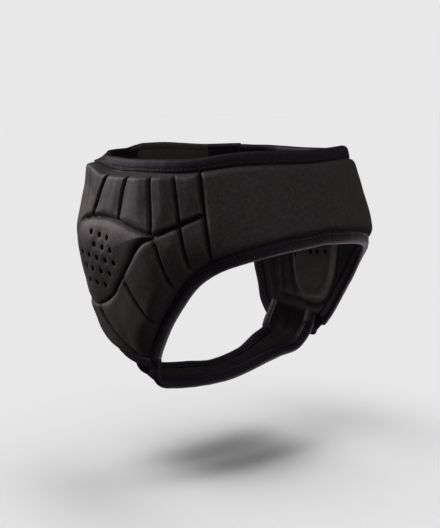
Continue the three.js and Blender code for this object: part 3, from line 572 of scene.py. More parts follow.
def mirrored_object(o, name):
    me = o.data.copy()
    me.name = name
    me.transform(Matrix.Diagonal((-1, 1, 1, 1)))
    me.flip_normals()
    me.update()
    c = bpy.data.objects.new(name, me)
    bpy.context.scene.collection.objects.link(c)
    return c


# ---------------------------------------------------------------- ear pads
PAD_ROWS, PAD_COLS = 186, 196


def pad_top(s):
    q = SEAM_TOP_Q + SEAM_GAP + s * (214.2 - SEAM_TOP_Q - SEAM_GAP)
    return np.stack([q, upper_edge(q)], -1)


def pad_front(s):
    return seam_top + np.outer(s, seam_foot - seam_top) + [SEAM_GAP, 0]


def pad_foot(s):
    a = FACE_SEAM_AT + SEAM_GAP / face_line.length
    return face_line.at(a + (1 - a) * s)


def hole_places():
    return np.array([(q + k * HOLE_PITCH, z + k * HOLE_PITCH * HOLE_RISE) for q, z, n in HOLE_ROWS for k in range(n)])


def groove_line(g, n=36):
    a, m, b = np.array(g[0:2]), np.array(g[2:4]), np.array(g[4:6])
    pull, t = 2 * m - 0.5 * a - 0.5 * b, np.linspace(0, 1, n)[:, None]
    return a * (1 - t) ** 2 + 2 * pull * t * (1 - t) + b * t ** 2


def pad_faces(pts):
    """Outer and inner lift of the pad, how much each point is rubbed, the painted highlight on the ear cushion's bevel,
    the painted shade in the grooves and along the seam, and the part of the lining that is the ear cushion.
    """
    q, z = pts[:, 0], pts[:, 1]
    flat = block_lift(q, z)

    # sewn-down grooves between the blocks; the rearmost one at the top is shallow
    part, sunk = None, np.full(len(pts), 2.6)
    for k, g in enumerate(GROOVES):
        d = np.maximum(distance(groove_line(g), pts) - 0.25, 0) / g[6]
        if k == 4:
            d = 0.45 + 0.55 * d
        sunk = np.where(d < 1.2, 3.4 if k < 6 else 4.4, sunk)
        part = d if part is None else softmin(part, d, 0.45)
    part = np.maximum(part, 0)
    block = np.sin(np.pi / 2 * np.clip(part, 0, 1)) ** 0.9
    puff = 0.7 * smooth(0.7, 3.4, part)

    # ring groove, shallow at the rear, and the dome that rises out of it over a round bevel
    ring = centripetal(RING, np.linspace(0, 1, 240, endpoint=False), True)
    loop = np.concatenate([ring, ring[:1]])
    dr, within = distance(loop, pts), inside(ring, pts)
    off = np.maximum(dr - 0.5, 0)
    fade = 0.8 * smooth(180, 193, q) * smooth(-26, -8, z)
    low = 1 - smooth(-12, 5, z)
    outside_rise = np.sin(np.pi / 2 * np.clip(off / 3.0, 0, 1)) ** 0.9
    ramp = np.sin(np.pi / 2 * np.clip(off / (6.2 + 1.3 * low), 0, 1)) ** 0.95
    mound = 0.2 * (1 - low) + 3.0 * (1 - np.exp(-dr / 15))
    mound = mound * (1 - fade * (1 - smooth(0, 12, dr)))
    s = np.where(within, ramp, outside_rise * block)
    s = s + (1 - s) * fade * np.where(within, 1, block)
    top = np.where(within, flat + mound, flat + puff * smooth(0, 5, off))
    floor = flat - np.where(within, 1.6 - 0.9 * low, np.where(off < 4, 2.2 - 0.7 * low, sunk))
    edge_rub = np.where(within, np.exp(-((off - 5.2) / 1.8) ** 2), np.exp(-((np.minimum(part, off / 3.0) - 0.8) / 0.3) ** 2))
    lift = floor + (top - floor) * s - 1.0 * (1 - fade) * np.exp(-(dr / 1.4) ** 2)
    # painted shade mask, strongest in the groove bottoms and the ring groove
    crease_shade = np.maximum(0.9 * np.exp(-(part / 0.5) ** 2) * np.where(within, 0, 1), (0.8 - 0.1 * low) * (1 - fade) * np.exp(-(dr / (1.7 - 0.4 * low)) ** 2))

    # rise out of the tape, and the sewn seam beside the brow panel
    upper = np.stack([np.linspace(60, 214.2, 120), upper_edge(np.linspace(60, 214.2, 120))], -1)
    d_top, d_face, d_rear = distance(upper, pts), distance(face_line.p, pts), distance(rear_line.p, pts)
    d_top = d_top * drawn(q)
    de = np.minimum(np.minimum(d_top, d_face), d_rear)
    rise = np.maximum(de - (TAPE_DEPTH + 0.05), 0)
    open_out = flare(q) * np.clip(d_top / TAPE_DEPTH, 0, 1) ** 1.3 * (1 - smooth(7, 20, d_top))
    under = EDGE_HALF + 0.5 * smooth(TAPE_DEPTH - 0.9, TAPE_DEPTH + 0.05, de)
    reach_top = 5.6 - 0.8 * smooth(166, 192, q)
    reach_rear = 4.0 + 3.0 * smooth(-40, 0, z)
    tip = 1 - smooth(-68, -44, z)
    for d, reach in ((d_top, reach_top), (d_face, 12.5 + 4.0 * tip), (d_rear, reach_rear + 2.5 * tip)):
        r = np.maximum(d - (TAPE_DEPTH + 0.05), 0)
        u = under + (open_out if d is d_top else 0)
        lift = softmin(lift, u + np.maximum(top + 0.4 - u, 0.2) * np.sin(np.pi / 2 * np.clip(r / reach, 0, 1)) ** 0.85, 2.2 + 2.4 * tip + (1.6 * smooth(166, 192, q) if d is d_top else 0))
    ds = distance(np.stack([seam_top, seam_foot]) + [SEAM_GAP, 0], pts)
    lift = softmin(lift, 0.9 + (top + 0.3 - 0.9) * np.sin(np.pi / 2 * np.clip(ds / 4.6, 0, 1)) ** 0.85, 0.6)

    # dimples at the holes, and the slight unevenness of moulded foam
    holes = hole_places()
    dh = np.sqrt(((pts[:, None] - holes[None]) ** 2).sum(2)).min(1)
    lift = lift - 0.5 * np.exp(-(dh / 2.4) ** 2)
    loose = smooth(0.0, 5.0, rise)
    lift = lift + waves(11, pts, (17, 31), 0.14) * loose * np.where(within, 1, block)

    # lining with its raised ear cushion, the vents in it, and two slack folds along the rear edge
    r = (np.abs((q - 140) / 25) ** 2.8 + np.abs((z + 8) / 50) ** 2.8) ** (1 / 2.8)
    cushion = 4.0 * (1 - smooth(0.80, 1.06, r)) - 0.9 * np.exp(-((r - 1.12) / 0.05) ** 2)
    soft = EDGE_HALF + (2.6 - EDGE_HALF) * shoulder(rise, 3.0) * shoulder(ds + 0.4, 3.0)
    inner = soft + cushion * smooth(0, 4, rise)
    slack = smooth(-72, -58, z) * (1 - smooth(-8, 20, z))
    inner = inner + slack * (0.9 * np.exp(-((d_rear - 14) / 1.7) ** 2) + 0.8 * np.exp(-((d_rear - 25 - 0.06 * (z + 40)) / 1.9) ** 2))
    inner = inner - 0.4 * np.exp(-(dh / 2.2) ** 2) + waves(12, pts, (14, 26), 0.14) * loose
    dv = np.sqrt(((pts[:, None] - VENTS[None]) ** 2).sum(2)).min(1)
    inner = inner - 0.3 * np.exp(-(dv / 2.4) ** 2)
    # the painted shade mask also runs along the seam beside the brow panel
    crease_shade = np.maximum(crease_shade * loose, 0.8 * np.exp(-(ds / 1.3) ** 2))
    # painted highlight: a lighter band on the ear cushion's bevel, strongest at its front
    bevel_highlight = np.exp(-((r - 0.95) / 0.075) ** 2) * (0.25 + 0.75 * (1 - smooth(126, 152, q)))
    out = lean(q) * (1 - smooth(8, 30, d_top))
    return lift + out, out - inner, np.clip(edge_rub * loose, 0, 1), bevel_highlight, crease_shade, r < 1.04


def build_pad():
    chart = coons(pad_top, pad_foot, pad_front, rear_line.at, PAD_ROWS, PAD_COLS).reshape(-1, 2)
    outer, inner, rub_and_highlight, bevel_highlight, crease_shade, cushion = pad_faces(chart)
    q, z = chart[:, 0], chart[:, 1]
    v = np.concatenate([lifted(q, z, outer), lifted(q, z, inner)])
    out, inn, rim = oriented(v, list(shell_faces(PAD_ROWS, PAD_COLS)))
    mesh = Mesh()
    faces = np.concatenate([out, inn, rim])
    mat = np.concatenate([np.zeros(len(out)), np.where(np.concatenate([cushion, cushion])[inn].all(1), 2, 1), np.zeros(len(rim))])
    # outer faces carry the rub and the painted crease shade, inner faces the painted highlight on the cushion's bevel
    mesh.add(v, faces, mat, np.concatenate([chart, chart]), np.concatenate([rub_and_highlight, bevel_highlight]), np.concatenate([crease_shade, np.zeros_like(crease_shade)]))
    o = mesh.build("pad_right", [PAD_CLOTH, LINING, CUSHION])

    # holes through the dome
    drill, n = Mesh(), 20
    a = np.linspace(0, 2 * np.pi, n, endpoint=False)
    through_holes = [(hq, hz, -14.0, 26.0) for hq, hz in hole_places()]
    for hq, hz, low, high in through_holes + [(vq, vz, -14.0, -3.2) for vq, vz in VENTS]:
        c = np.array([[hq, hz]])
        foot, axis = on_chart(c[:, 0], c[:, 1])[0], normal_at(c[:, 0], c[:, 1])[0]
        side = unit(np.cross(axis, [0, 0, 1.0]))
        up = np.cross(axis, side)
        ring = np.cos(a)[:, None] * side + np.sin(a)[:, None] * up
        r = HOLE_DIAMETER / 2
        rings = np.concatenate([foot + axis * h + ring * r for h in (low, high)])
        f4 = np.stack([np.arange(n), (np.arange(n) + 1) % n, n + (np.arange(n) + 1) % n, n + np.arange(n)], -1)
        f3 = np.concatenate([np.stack([np.zeros(n - 2), np.arange(2, n), np.arange(1, n - 1)], -1),
                             n + np.stack([np.zeros(n - 2), np.arange(1, n - 1), np.arange(2, n)], -1)]).astype(int)
        drill.add(rings, oriented(rings, [f4, f3]), 0, np.zeros((2 * n, 2)))
    d = drill.build("pad_drill", [LINING])
    mod = o.modifiers.new("holes", "BOOLEAN")
    mod.operation, mod.object, mod.solver = "DIFFERENCE", d, "MANIFOLD"
    bpy.context.view_layer.update()
    cut = bpy.data.meshes.new_from_object(o.evaluated_get(bpy.context.evaluated_depsgraph_get()))
    o.modifiers.clear()
    o.data = cut
    bpy.data.objects.remove(d)
    finish_mesh(cut, 50)
    return o


pad_right = build_pad()
pad_left = mirrored_object(pad_right, "pad_left")


# ---------------------------------------------------------------- brow panel
def build_brow():
    rows, cols = 96, 210

    def top(s):
        qq = (2 * s - 1) * SEAM_TOP_Q
        return np.stack([qq, upper_edge(np.abs(qq))], -1)

    def foot(s):
        w = 2 * s - 1
        p = face_line.at(np.abs(w) * FACE_SEAM_AT)
        return p * np.stack([np.sign(w) + (w == 0), np.ones_like(w)], -1)

    def right(s):
        return seam_top + np.outer(s, seam_foot - seam_top)

    chart = coons(top, foot, lambda s: right(s) * [-1, 1], right, rows, cols).reshape(-1, 2)
    pts = chart * [1, 1]
    pts[:, 0] = np.abs(pts[:, 0])
    upper = np.stack([np.linspace(-3, 95, 90), upper_edge(np.abs(np.linspace(-3, 95, 90)))], -1)
    lower = np.concatenate([face_line.p[::-1] * [-1, 1], face_line.p])
    de = np.minimum(distance(upper, pts), distance(lower, pts))
    ds = distance(np.stack([seam_top, seam_foot]), pts)
    rise = np.maximum(de - (TAPE_DEPTH + 0.05), 0)
    under = EDGE_HALF + 0.8 * smooth(TAPE_DEPTH - 0.9, TAPE_DEPTH + 0.05, de)
    full = BROW_LIFT + 0.7 * smooth(2, 20, rise) + waves(21, chart, (34, 60), 0.14)
    lift = under + (full - under) * shoulder(rise, 5.0)
    lift = softmin(lift, 0.9 + (full + 0.2 - 0.9) * shoulder(ds, 4.0), 0.5)
    inner = EDGE_HALF + (BROW_INNER - EDGE_HALF) * shoulder(rise, 4.0) * (0.4 + 0.6 * shoulder(ds, 3.0)) + waves(22, chart, (26,), 0.12) * smooth(0, 6, rise)
    q, z = chart[:, 0], chart[:, 1]
    v = np.concatenate([lifted(q, z, lift), lifted(q, z, -inner)])
    out, inn, rim = oriented(v, list(shell_faces(rows, cols)))
    mesh = Mesh()
    rub_and_highlight = np.exp(-((ds - 2.6) / 1.2) ** 2) * smooth(0, 3, rise)
    mesh.add(v, np.concatenate([out, inn, rim]), np.concatenate([np.zeros(len(out)), np.ones(len(inn)), np.zeros(len(rim))]),
             np.concatenate([chart, chart]), np.concatenate([rub_and_highlight, np.zeros_like(rub_and_highlight)]))
    return mesh.build("brow_panel", [PAD_CLOTH, LINING])


brow = build_brow()


# ---------------------------------------------------------------- binding tape
TAPE_RISE = 1.25


def tape_section(half, depth, tip, thick=0.8, bulge=0.08, rise=None):
    """Outline of a folded tape: distance in from the edge, and lift. Row 0 starts at the outer leg's end."""
    top = half + (TAPE_RISE if rise is None else rise)
    xs = np.array([depth, depth + 0.05, depth - 0.25, depth - 0.8, depth - 1.5, depth - 2.2, depth - 3.2, depth - 4.4])
    ys = np.array([top - 0.95, top - 0.5, top - 0.18, top - 0.1, top - 0.3, top - 0.02, top + bulge, top + bulge])
    keep = xs > 0.9
    xs, ys = xs[keep], ys[keep]
    a = np.linspace(np.pi / 2, 3 * np.pi / 2, 17)
    cx = 0.6
    outer = np.concatenate([np.stack([xs, ys], -1), np.stack([cx + (tip + cx) * np.cos(a), top * np.sin(a)], -1), np.stack([xs[::-1], -ys[::-1]], -1)])
    inner_x = np.array([depth - 0.5, depth - 2.5, 0.6])
    iy = top - thick
    b = a[::-1]
    under = np.concatenate([
        np.stack([inner_x, np.array([-(top - 0.88), -iy, -iy])], -1)[:2],
        np.stack([cx + (tip + cx - thick) * np.cos(b), iy * np.sin(b)], -1)[::2],
        np.stack([inner_x[::-1], np.array([iy, iy, top - 0.88])], -1)[1:]])
    return np.concatenate([outer, under]), len(outer)


def tube(stations, section, place):
    """Sweeps a closed section along stations: place(stations, x, y) gives points."""
    n, k = len(stations), len(section)
    v = np.concatenate([place(i, section[:, 0], section[:, 1]) for i in range(n)])
    j, i = np.divmod(np.arange((n - 1) * k), k)
    a, b = j * k + i, j * k + (i + 1) % k
    f4 = np.stack([a, b, b + k, a + k], -1)
    return v, f4


def cap_faces(section_count, outer_count, start):
    """Quads and triangles between the outer and the inner outline of a tape's cut end."""
    outer, inner = list(range(outer_count)), list(range(section_count - 1, outer_count - 1, -1))
    f, i, j = [], 0, 0
    while i < len(outer) - 1 or j < len(inner) - 1:
        if j >= len(inner) - 1 or (i < len(outer) - 1 and (i + 1) * (len(inner) - 1) <= (j + 1) * (len(outer) - 1)):
            f.append((outer[i], outer[i + 1], inner[j]))
            i += 1
        else:
            f.append((outer[i], inner[j + 1], inner[j]))
            j += 1
    return np.array(f) + start


def build_tape(name, line, sign, start, stop, seed, step=1.2, half=EDGE_HALF, depth=TAPE_DEPTH - 1.1, tip=2.1, opens=False, near_wear_and_highlight=0.15):
    """Tape folded over an edge of the chart."""
    n = int((stop - start) * line.length / step)
    s = np.linspace(start, stop, n)
    p, d = line.at(s), line.along(s, 1.5 / line.length)
    inward = np.stack([-d[:, 1] * sign, d[:, 0] * sign], -1)
    sec, outer_count = tape_section(half, depth, tip)
    arc = s * line.length
    sway = waves(seed, np.stack([arc, 0 * arc], -1), (23, 47), 0.16)
    swell_by = 1 + 0.035 * waves(seed + 1, np.stack([arc, 0 * arc], -1), (9, 31), 1.0)

    def points(x, y):
        """Points at distance x in from the edge and lift y, for every station."""
        xx = x + (sway * np.clip(x / depth, 0, 1) if np.ndim(x) == 0 else sway[:, None] * np.clip(x / depth, 0, 1))
        if opens:
            xx = xx / (drawn(p[:, 0:1]) if np.ndim(x) else drawn(p[:, 0]))
        if np.ndim(x):
            q = p[:, 0:1] + inward[:, 0:1] * xx
            z = p[:, 1:2] + inward[:, 1:2] * xx
            out = (flare(q) * np.clip(x / depth, 0, 1) ** 1.3 * (y > 0) + lean(q)) * opens
            return lifted(q, z, np.broadcast_to(y, q.shape) * swell_by[:, None] + out)
        out = (flare(p[:, 0]) * np.clip(x / depth, 0, 1) ** 1.3 * (y > 0) + lean(p[:, 0])) * opens
        return lifted(p[:, 0] + inward[:, 0] * xx, p[:, 1] + inward[:, 1] * xx, y * swell_by + out)

    k = len(sec)
    v = points(sec[None, :, 0], sec[None, :, 1]).reshape(-1, 3)
    j, i = np.divmod(np.arange((n - 1) * k), k)
    a, b = j * k + i, j * k + (i + 1) % k
    f4 = np.stack([a, b, b + k, a + k], -1)
    c0, c1 = cap_faces(k, outer_count, 0), cap_faces(k, outer_count, (n - 1) * k)
    f4, c0, c1 = oriented(v, [f4, c0[:, ::-1], c1])
    across = np.concatenate([[0], np.cumsum(np.linalg.norm(np.diff(sec, axis=0), axis=1))])
    weave = np.stack(np.broadcast_arrays(across[None, :], arc[:, None]), -1)
    # wear along the tape's fold; where the near level is raised, as on the face tape, the fold gets a painted highlight
    # on the near side from q 60 to 100
    rub_and_highlight = np.exp(-((sec[:, 0] + 0.6) / 2.0) ** 2) * (np.arange(k) < outer_count)
    rub_and_highlight = rub_and_highlight[None, :] * (0.15 + (near_wear_and_highlight - 0.15) * smooth(60, 100, p[:, 0]))[:, None]
    mesh = Mesh()
    mesh.add(v, [f4, c0, c1], 0, weave, np.broadcast_to(rub_and_highlight, (n, k)))
    top = half + TAPE_RISE - 0.3
    for lift in (top, -top):
        row = points(depth - 1.5, np.full(n, lift))
        nrm = normal_at(p[:, 0], p[:, 1]) * np.sign(lift)
        stitches(mesh, row, nrm)
    return mesh.build(name, [TAPE_CLOTH, THREAD])


_q = np.linspace(0, 215.9, 160)
top_edge = np.stack([_q, upper_edge(_q)], -1)
top_line = Line(np.concatenate([top_edge[::-1] * [-1, 1], top_edge[1:]]))
face_full = Line(np.concatenate([face_line.p[::-1] * [-1, 1], face_line.p[1:]]))
TIP_BACK, TIP_TURN, REAR_START = 9.5, 2.0, TAPE_DEPTH + 0.7
tape_top = build_tape("tape_top", top_line, -1, 0, 1, 31, opens=True)
# the face tape's fold is lightened on its near side: painted highlight
tape_face = build_tape("tape_face", face_full, 1, TIP_BACK / face_full.length, 1 - TIP_BACK / face_full.length, 33, near_wear_and_highlight=1.0)
tape_rear_right = build_tape("tape_rear_right", rear_line, -1, REAR_START / rear_line.length, 1 - TIP_TURN / rear_line.length, 35)
tape_rear_left = mirrored_object(tape_rear_right, "tape_rear_left")


# ---------------------------------------------------------------- back strap
TAB_END, TAB_START = 264.0, 346.0


def strap_drop(q):
    """How far the strap's upper edge lies under its highest place: it steps down at the dark tabs at both ends."""
    return 3.0 * (1 - smooth(258, 282, q)) + 3.2 * smooth(300, 350, q)


def build_back():
    rear_at = through(REAR_EDGE[:4][::-1, 1], REAR_EDGE[:4][::-1, 0])
    rows, cols = 72, 200

    def eased(n, dense):
        """0 to 1 with closer steps at both ends."""
        t = np.linspace(0, 1, n)
        return (1 - dense) * t + dense * (0.5 - 0.5 * np.cos(np.pi * t))

    v01, u01 = eased(rows, 0.8), eased(cols, 0.6)
    z0 = STRAP_TOP + v01 * (STRAP_BOTTOM - STRAP_TOP)
    end = rear_at(np.minimum(z0, REAR_EDGE[0, 1])) + STRAP_CLEAR
    q = end[:, None] + u01[None] * 2 * (HALF_ROUND - end[:, None])
    crown = STRAP_TOP - strap_drop(q)
    zz = crown + v01[:, None] * (STRAP_BOTTOM - crown)
    dz = np.minimum(crown - zz, zz - STRAP_BOTTOM)
    dq = np.minimum(q - end[:, None], 2 * HALF_ROUND - end[:, None] - q)
    d = np.maximum(np.minimum(dz, dq), 0)
    chart = np.stack([q.ravel(), zz.ravel()], -1)
    half = 2.0 * np.minimum(shoulder(dz, 2.2), 0.7 + 0.3 * shoulder(dq, 1.5)).ravel()
    sewn = np.exp(-((d - 4.6) / 0.75) ** 2).ravel()
    puff = 0.5 * smooth(5.5, 14, d).ravel() + waves(41, chart, (19, 37), 0.12) * smooth(3, 8, d).ravel()
    mid = 0.2
    column = np.broadcast_to(q[rows // 2][None], q.shape).ravel()
    tab = (column < TAB_END) | (column > TAB_START)
    half = half - 0.5 * tab + 0.55 * ((column >= TAB_END) & (column < TAB_END + 8)) * shoulder(d.ravel(), 1.0)
    v = np.concatenate([lifted(chart[:, 0], chart[:, 1], mid + half - 0.42 * sewn + puff),
                        lifted(chart[:, 0], chart[:, 1], mid - half + 0.42 * sewn - 0.5 * puff)])
    out, inn, rim = oriented(v, list(shell_faces(rows, cols)))
    mesh = Mesh()
    rub_and_highlight = np.exp(-((d - 0.9) / 0.7) ** 2).ravel()
    zone = np.where(column > TAB_START, 3, np.where(tab, 2, np.where(column < TAB_END + 8, 3, 0)))
    zone = np.concatenate([zone, zone])
    faces = np.concatenate([out, inn, rim])
    mesh.add(v, faces, zone[faces[:, 0]], np.concatenate([chart, chart]), np.concatenate([rub_and_highlight, rub_and_highlight]))
    inset = 4.6
    for side, sgn in ((mid + 2.0 - 0.42, 1), (mid - 2.0 + 0.42, -1)):
        e = float(rear_at(STRAP_BOTTOM)) + STRAP_CLEAR + inset
        e2 = float(rear_at(REAR_EDGE[0, 1])) + STRAP_CLEAR + inset
        for upper in (True, False):
            zz0 = STRAP_TOP - inset if upper else STRAP_BOTTOM + inset
            ee = float(rear_at(min(zz0, REAR_EDGE[0, 1]))) + STRAP_CLEAR + inset
            qs = np.linspace(ee, 2 * HALF_ROUND - ee, 160)
            zs = np.full_like(qs, zz0) - upper * strap_drop(qs)
            stitches(mesh, lifted(qs, zs, np.full_like(qs, side)), normal_at(qs, zs) * sgn)
        zs = np.linspace(STRAP_BOTTOM + inset, STRAP_TOP - 3.0 - inset, 40)
        for flip in (0, 1):
            qs = rear_at(np.minimum(zs, REAR_EDGE[0, 1])) + STRAP_CLEAR + inset
            qs = 2 * HALF_ROUND - qs if flip else qs
            stitches(mesh, lifted(qs, zs, np.full_like(qs, side)), normal_at(qs, zs) * sgn)
    # the back strap's main zone uses the lightened strap cloth: painted light
    return mesh.build("back_band", [BACK_CLOTH_LIGHTENED, THREAD, LINING, TAPE_CLOTH])


back = build_back()


# ---------------------------------------------------------------- chin strap
CHIN_ROWS = 200
_s = np.linspace(0, 1, CHIN_ROWS)
chin_mid = centripetal(CHIN[:, :3], _s)
chin_dir = unit(np.gradient(chin_mid, axis=0))
_rise = np.radians(through(np.arange(len(CHIN)) / (len(CHIN) - 1), CHIN[:, 3])(_s))
chin_back = np.stack([0 * _rise, np.cos(_rise), np.sin(_rise)], -1)
chin_back = unit(chin_back - chin_dir * (chin_back * chin_dir).sum(1, keepdims=True))
chin_out = unit(np.cross(chin_back, chin_dir))
_turn = (chin_out[:, 2] > 0.2) | ((np.abs(chin_out[:, 2]) <= 0.2) & (chin_out[:, 0] * chin_mid[:, 0] < 0))
chin_out = np.where(_turn[:, None], -chin_out, chin_out)
chin_arc = np.concatenate([[0], np.cumsum(np.linalg.norm(np.diff(chin_mid, axis=0), axis=1))])


chin_flare = np.maximum(through(np.arange(len(CHIN)) / (len(CHIN) - 1), CHIN[:, 4])(_s), 0)
CHIN_FLAT = HALF_CHIN - CHIN_TAPE_DEPTH - 0.4


def chin_points(across, lift):
    across = np.asarray(across, float)
    across = across + chin_flare[:, None] * np.clip(across / CHIN_FLAT, -1, 1)
    return chin_mid[:, None] + chin_back[:, None] * across[..., None] + chin_out[:, None] * np.asarray(lift)[..., None]


def swept(mesh, section, outer_count=None, rub_and_highlight=None, mat=0, vary=None, sides=None, extra=0):
    """Sweeps a closed section along the chin strap."""
    n, k = CHIN_ROWS, len(section)
    lift = np.broadcast_to(section[None, :, 1], (n, k))
    if vary is not None:
        lift = lift * vary[:, None]
    lift = lift + extra
    v = chin_points(np.broadcast_to(section[None, :, 0], (n, k)), lift).reshape(-1, 3)
    j, i = np.divmod(np.arange((n - 1) * k), k)
    a, b = j * k + i, j * k + (i + 1) % k
    f4 = np.stack([a, b, b + k, a + k], -1)
    if outer_count is None:
        half = k // 2
        c = []
        for e in range(half - 1):
            c.append((e, e + 1, k - 2 - e, k - 1 - e))
        c0 = np.array(c)
        c1 = c0 + (n - 1) * k
    else:
        c0, c1 = cap_faces(k, outer_count, 0), cap_faces(k, outer_count, (n - 1) * k)
    faces = oriented(v, [f4, c0[:, ::-1], c1])
    across = np.concatenate([[0], np.cumsum(np.linalg.norm(np.diff(section, axis=0), axis=1))])
    weave = np.stack(np.broadcast_arrays(across[None, :], chin_arc[:, None]), -1)
    if sides is not None:
        w = np.broadcast_to(weave, (n, k, 2))
        mesh.add(v, faces[0], sides[i], w)
        mesh.add(np.zeros((0, 3)), [f - len(v) for f in faces[1:]], mat)
        return
    mesh.add(v, faces, mat, weave, None if rub_and_highlight is None else np.broadcast_to(rub_and_highlight, (n, k)))


CHIN_TAPE_RISE = 1.5


def build_chin():
    x = np.linspace(-HALF_CHIN, HALF_CHIN, 45)
    room = np.maximum((HALF_CHIN - CHIN_TAPE_DEPTH - 0.05) - np.abs(x), 0)
    h = 1.35 + 1.95 * shoulder(room, 3.4)
    fold = 0.8 * np.exp(-((x + 1.4) / 1.2) ** 2) + 0.6 * np.exp(-((x - 2.4) / 1.1) ** 2)
    section = np.concatenate([np.stack([x, h], -1), np.stack([x[::-1], -(h + fold)[::-1]], -1)])
    mesh = Mesh()
    end = np.minimum(chin_arc, chin_arc[-1] - chin_arc)
    vary = 1 + 0.03 * waves(51, np.stack([chin_arc, 0 * chin_arc], -1), (21, 38), 1.0)
    # the chin strap's inner face takes the darker copy of the strap cloth: painted shade
    side = np.where(np.arange(len(section)) < len(x) - 1, 0, 2)
    full = np.concatenate([np.clip(1 - (x / CHIN_FLAT) ** 2, 0, 1), np.zeros(len(x))])
    extra = 0.9 * (1 - smooth(5, 20, end))[:, None] * full[None]
    swept(mesh, section, vary=vary * (0.72 + 0.28 * shoulder(end, 2.0)), sides=side, extra=extra)
    for at in (3.0, 6.5):
        for share in (at / chin_arc[-1], 1 - at / chin_arc[-1]):
            k = int(round(np.interp(share * chin_arc[-1], chin_arc, np.arange(CHIN_ROWS))))
            w = np.linspace(-4.3, 4.3, 14)
            for sgn in (1, -1):
                hh = 1.35 + 1.95 * shoulder(np.maximum(4.85 - np.abs(w), 0), 3.4)
                row = chin_mid[k] + chin_back[k] * (w + chin_flare[k] * np.clip(w / CHIN_FLAT, -1, 1))[:, None] + chin_out[k] * (sgn * hh * vary[k])[:, None]
                stitches(mesh, row, np.broadcast_to(chin_out[k] * sgn, row.shape), pitch=2.4, length=1.8)
    return mesh.build("chin_band", [STRAP_CLOTH, THREAD, STRAP_CLOTH_SHADED])


def build_chin_tape(name, sign, seed):
    sec, outer_count = tape_section(CHIN_EDGE, CHIN_TAPE_DEPTH, 2.1, bulge=0.45, rise=CHIN_TAPE_RISE)
    section = np.stack([sign * (HALF_CHIN - sec[:, 0]), sec[:, 1]], -1)
    mesh = Mesh()
    vary = 1 + 0.035 * waves(seed, np.stack([chin_arc, 0 * chin_arc], -1), (11, 29), 1.0)
    rub_and_highlight = 0.14 * np.exp(-((sec[:, 0] + 1.0) / 1.1) ** 2) * (np.arange(len(sec)) < outer_count)
    swept(mesh, section, outer_count, rub_and_highlight, vary=vary)
    top = CHIN_EDGE + CHIN_TAPE_RISE - 0.3
    for lift in (top, -top):
        row = chin_points(np.full((CHIN_ROWS, 1), sign * (HALF_CHIN - CHIN_TAPE_DEPTH + 1.5)), np.full((CHIN_ROWS, 1), lift) * vary[:, None])[:, 0]
        stitches(mesh, row, chin_out * np.sign(lift))
    return mesh.build(name, [TAPE_CLOTH, THREAD])


chin = build_chin()
chin_front = build_chin_tape("chin_tape_front", -1, 53)
chin_rear = build_chin_tape("chin_tape_back", 1, 57)

# ---------------------------------------------------------------- the frame
for piece, node, slot, fill in (
        (brow, "forehead_panel", "pad_fabric", 0.75), (pad_right, "ear_pad_right", "pad_fabric", 0.9),
        (pad_left, "ear_pad_left", "pad_fabric", 0.9), (back, "back_strap", "strap_fabric", 0.6),
        (tape_top, "top_binding", "binding_tape", None), (tape_face, "face_binding", "binding_tape", None),
        (tape_rear_right, "rear_binding_right", "binding_tape", None), (tape_rear_left, "rear_binding_left", "binding_tape", None),
        (chin, "chin_strap", "strap_fabric", 0.6), (chin_front, "chin_binding_front", "binding_tape", None),
        (chin_rear, "chin_binding_back", "binding_tape", None)):
    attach(piece, "root")
    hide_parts(node)

# ---------------------------------------------------------------- stage
FLOOR_Z = -0.160
PIECES = [brow, pad_right, pad_left, back, tape_top, tape_face, tape_rear_right, tape_rear_left, chin, chin_front, chin_rear]


def group_of(name, objects):
    c = bpy.data.collections.new(name)
    for o in objects:
        c.objects.link(o)
    return c


def build_floor():
    """A wide pale floor."""
    m, nodes, links = material("floor")
    out, bsdf = nodes.new("ShaderNodeOutputMaterial"), nodes.new("ShaderNodeBsdfPrincipled")
    links.new(bsdf.outputs[0], out.inputs["Surface"])
    place, noise, ramp = nodes.new("ShaderNodeTexCoord"), nodes.new("ShaderNodeTexNoise"), nodes.new("ShaderNodeValToRGB")
    noise.inputs["Scale"].default_value = 1.5
    links.new(place.outputs["Object"], noise.inputs["Vector"])
    links.new(noise.outputs[0], ramp.inputs[0])
    ramp.color_ramp.elements[0].color = (0.795, 0.795, 0.795, 1)
    ramp.color_ramp.elements[1].color = (0.805, 0.805, 0.805, 1)
    links.new(ramp.outputs[0], bsdf.inputs["Base Color"])
    bsdf.inputs["Roughness"].default_value = 0.9
    bsdf.inputs["Specular IOR Level"].default_value = 0.0
    me = bpy.data.meshes.new("floor")
    size = 60.0
    me.from_pydata([(-size, -size, FLOOR_Z), (size, -size, FLOOR_Z), (size, size, FLOOR_Z), (-size, size, FLOOR_Z)], [], [(0, 1, 2, 3)])
    me.materials.append(m)
    o = bpy.data.objects.new("floor", me)
    bpy.context.scene.collection.objects.link(o)
    o.visible_diffuse = o.visible_glossy = False
    return o


floor = build_floor()
ON_PIECES, ON_FLOOR = group_of("lit_pieces", PIECES), group_of("lit_floor", [floor])
ON_KEY = group_of("lit_key", [o for o in PIECES if o not in (chin, pad_left, tape_face)])
ON_FAR_KEY = group_of("lit_far_key", [pad_left, tape_face])
ON_TAPES, ON_FAR = group_of("lit_tapes", [tape_face, chin_front, chin_rear]), group_of("lit_far", [pad_left])


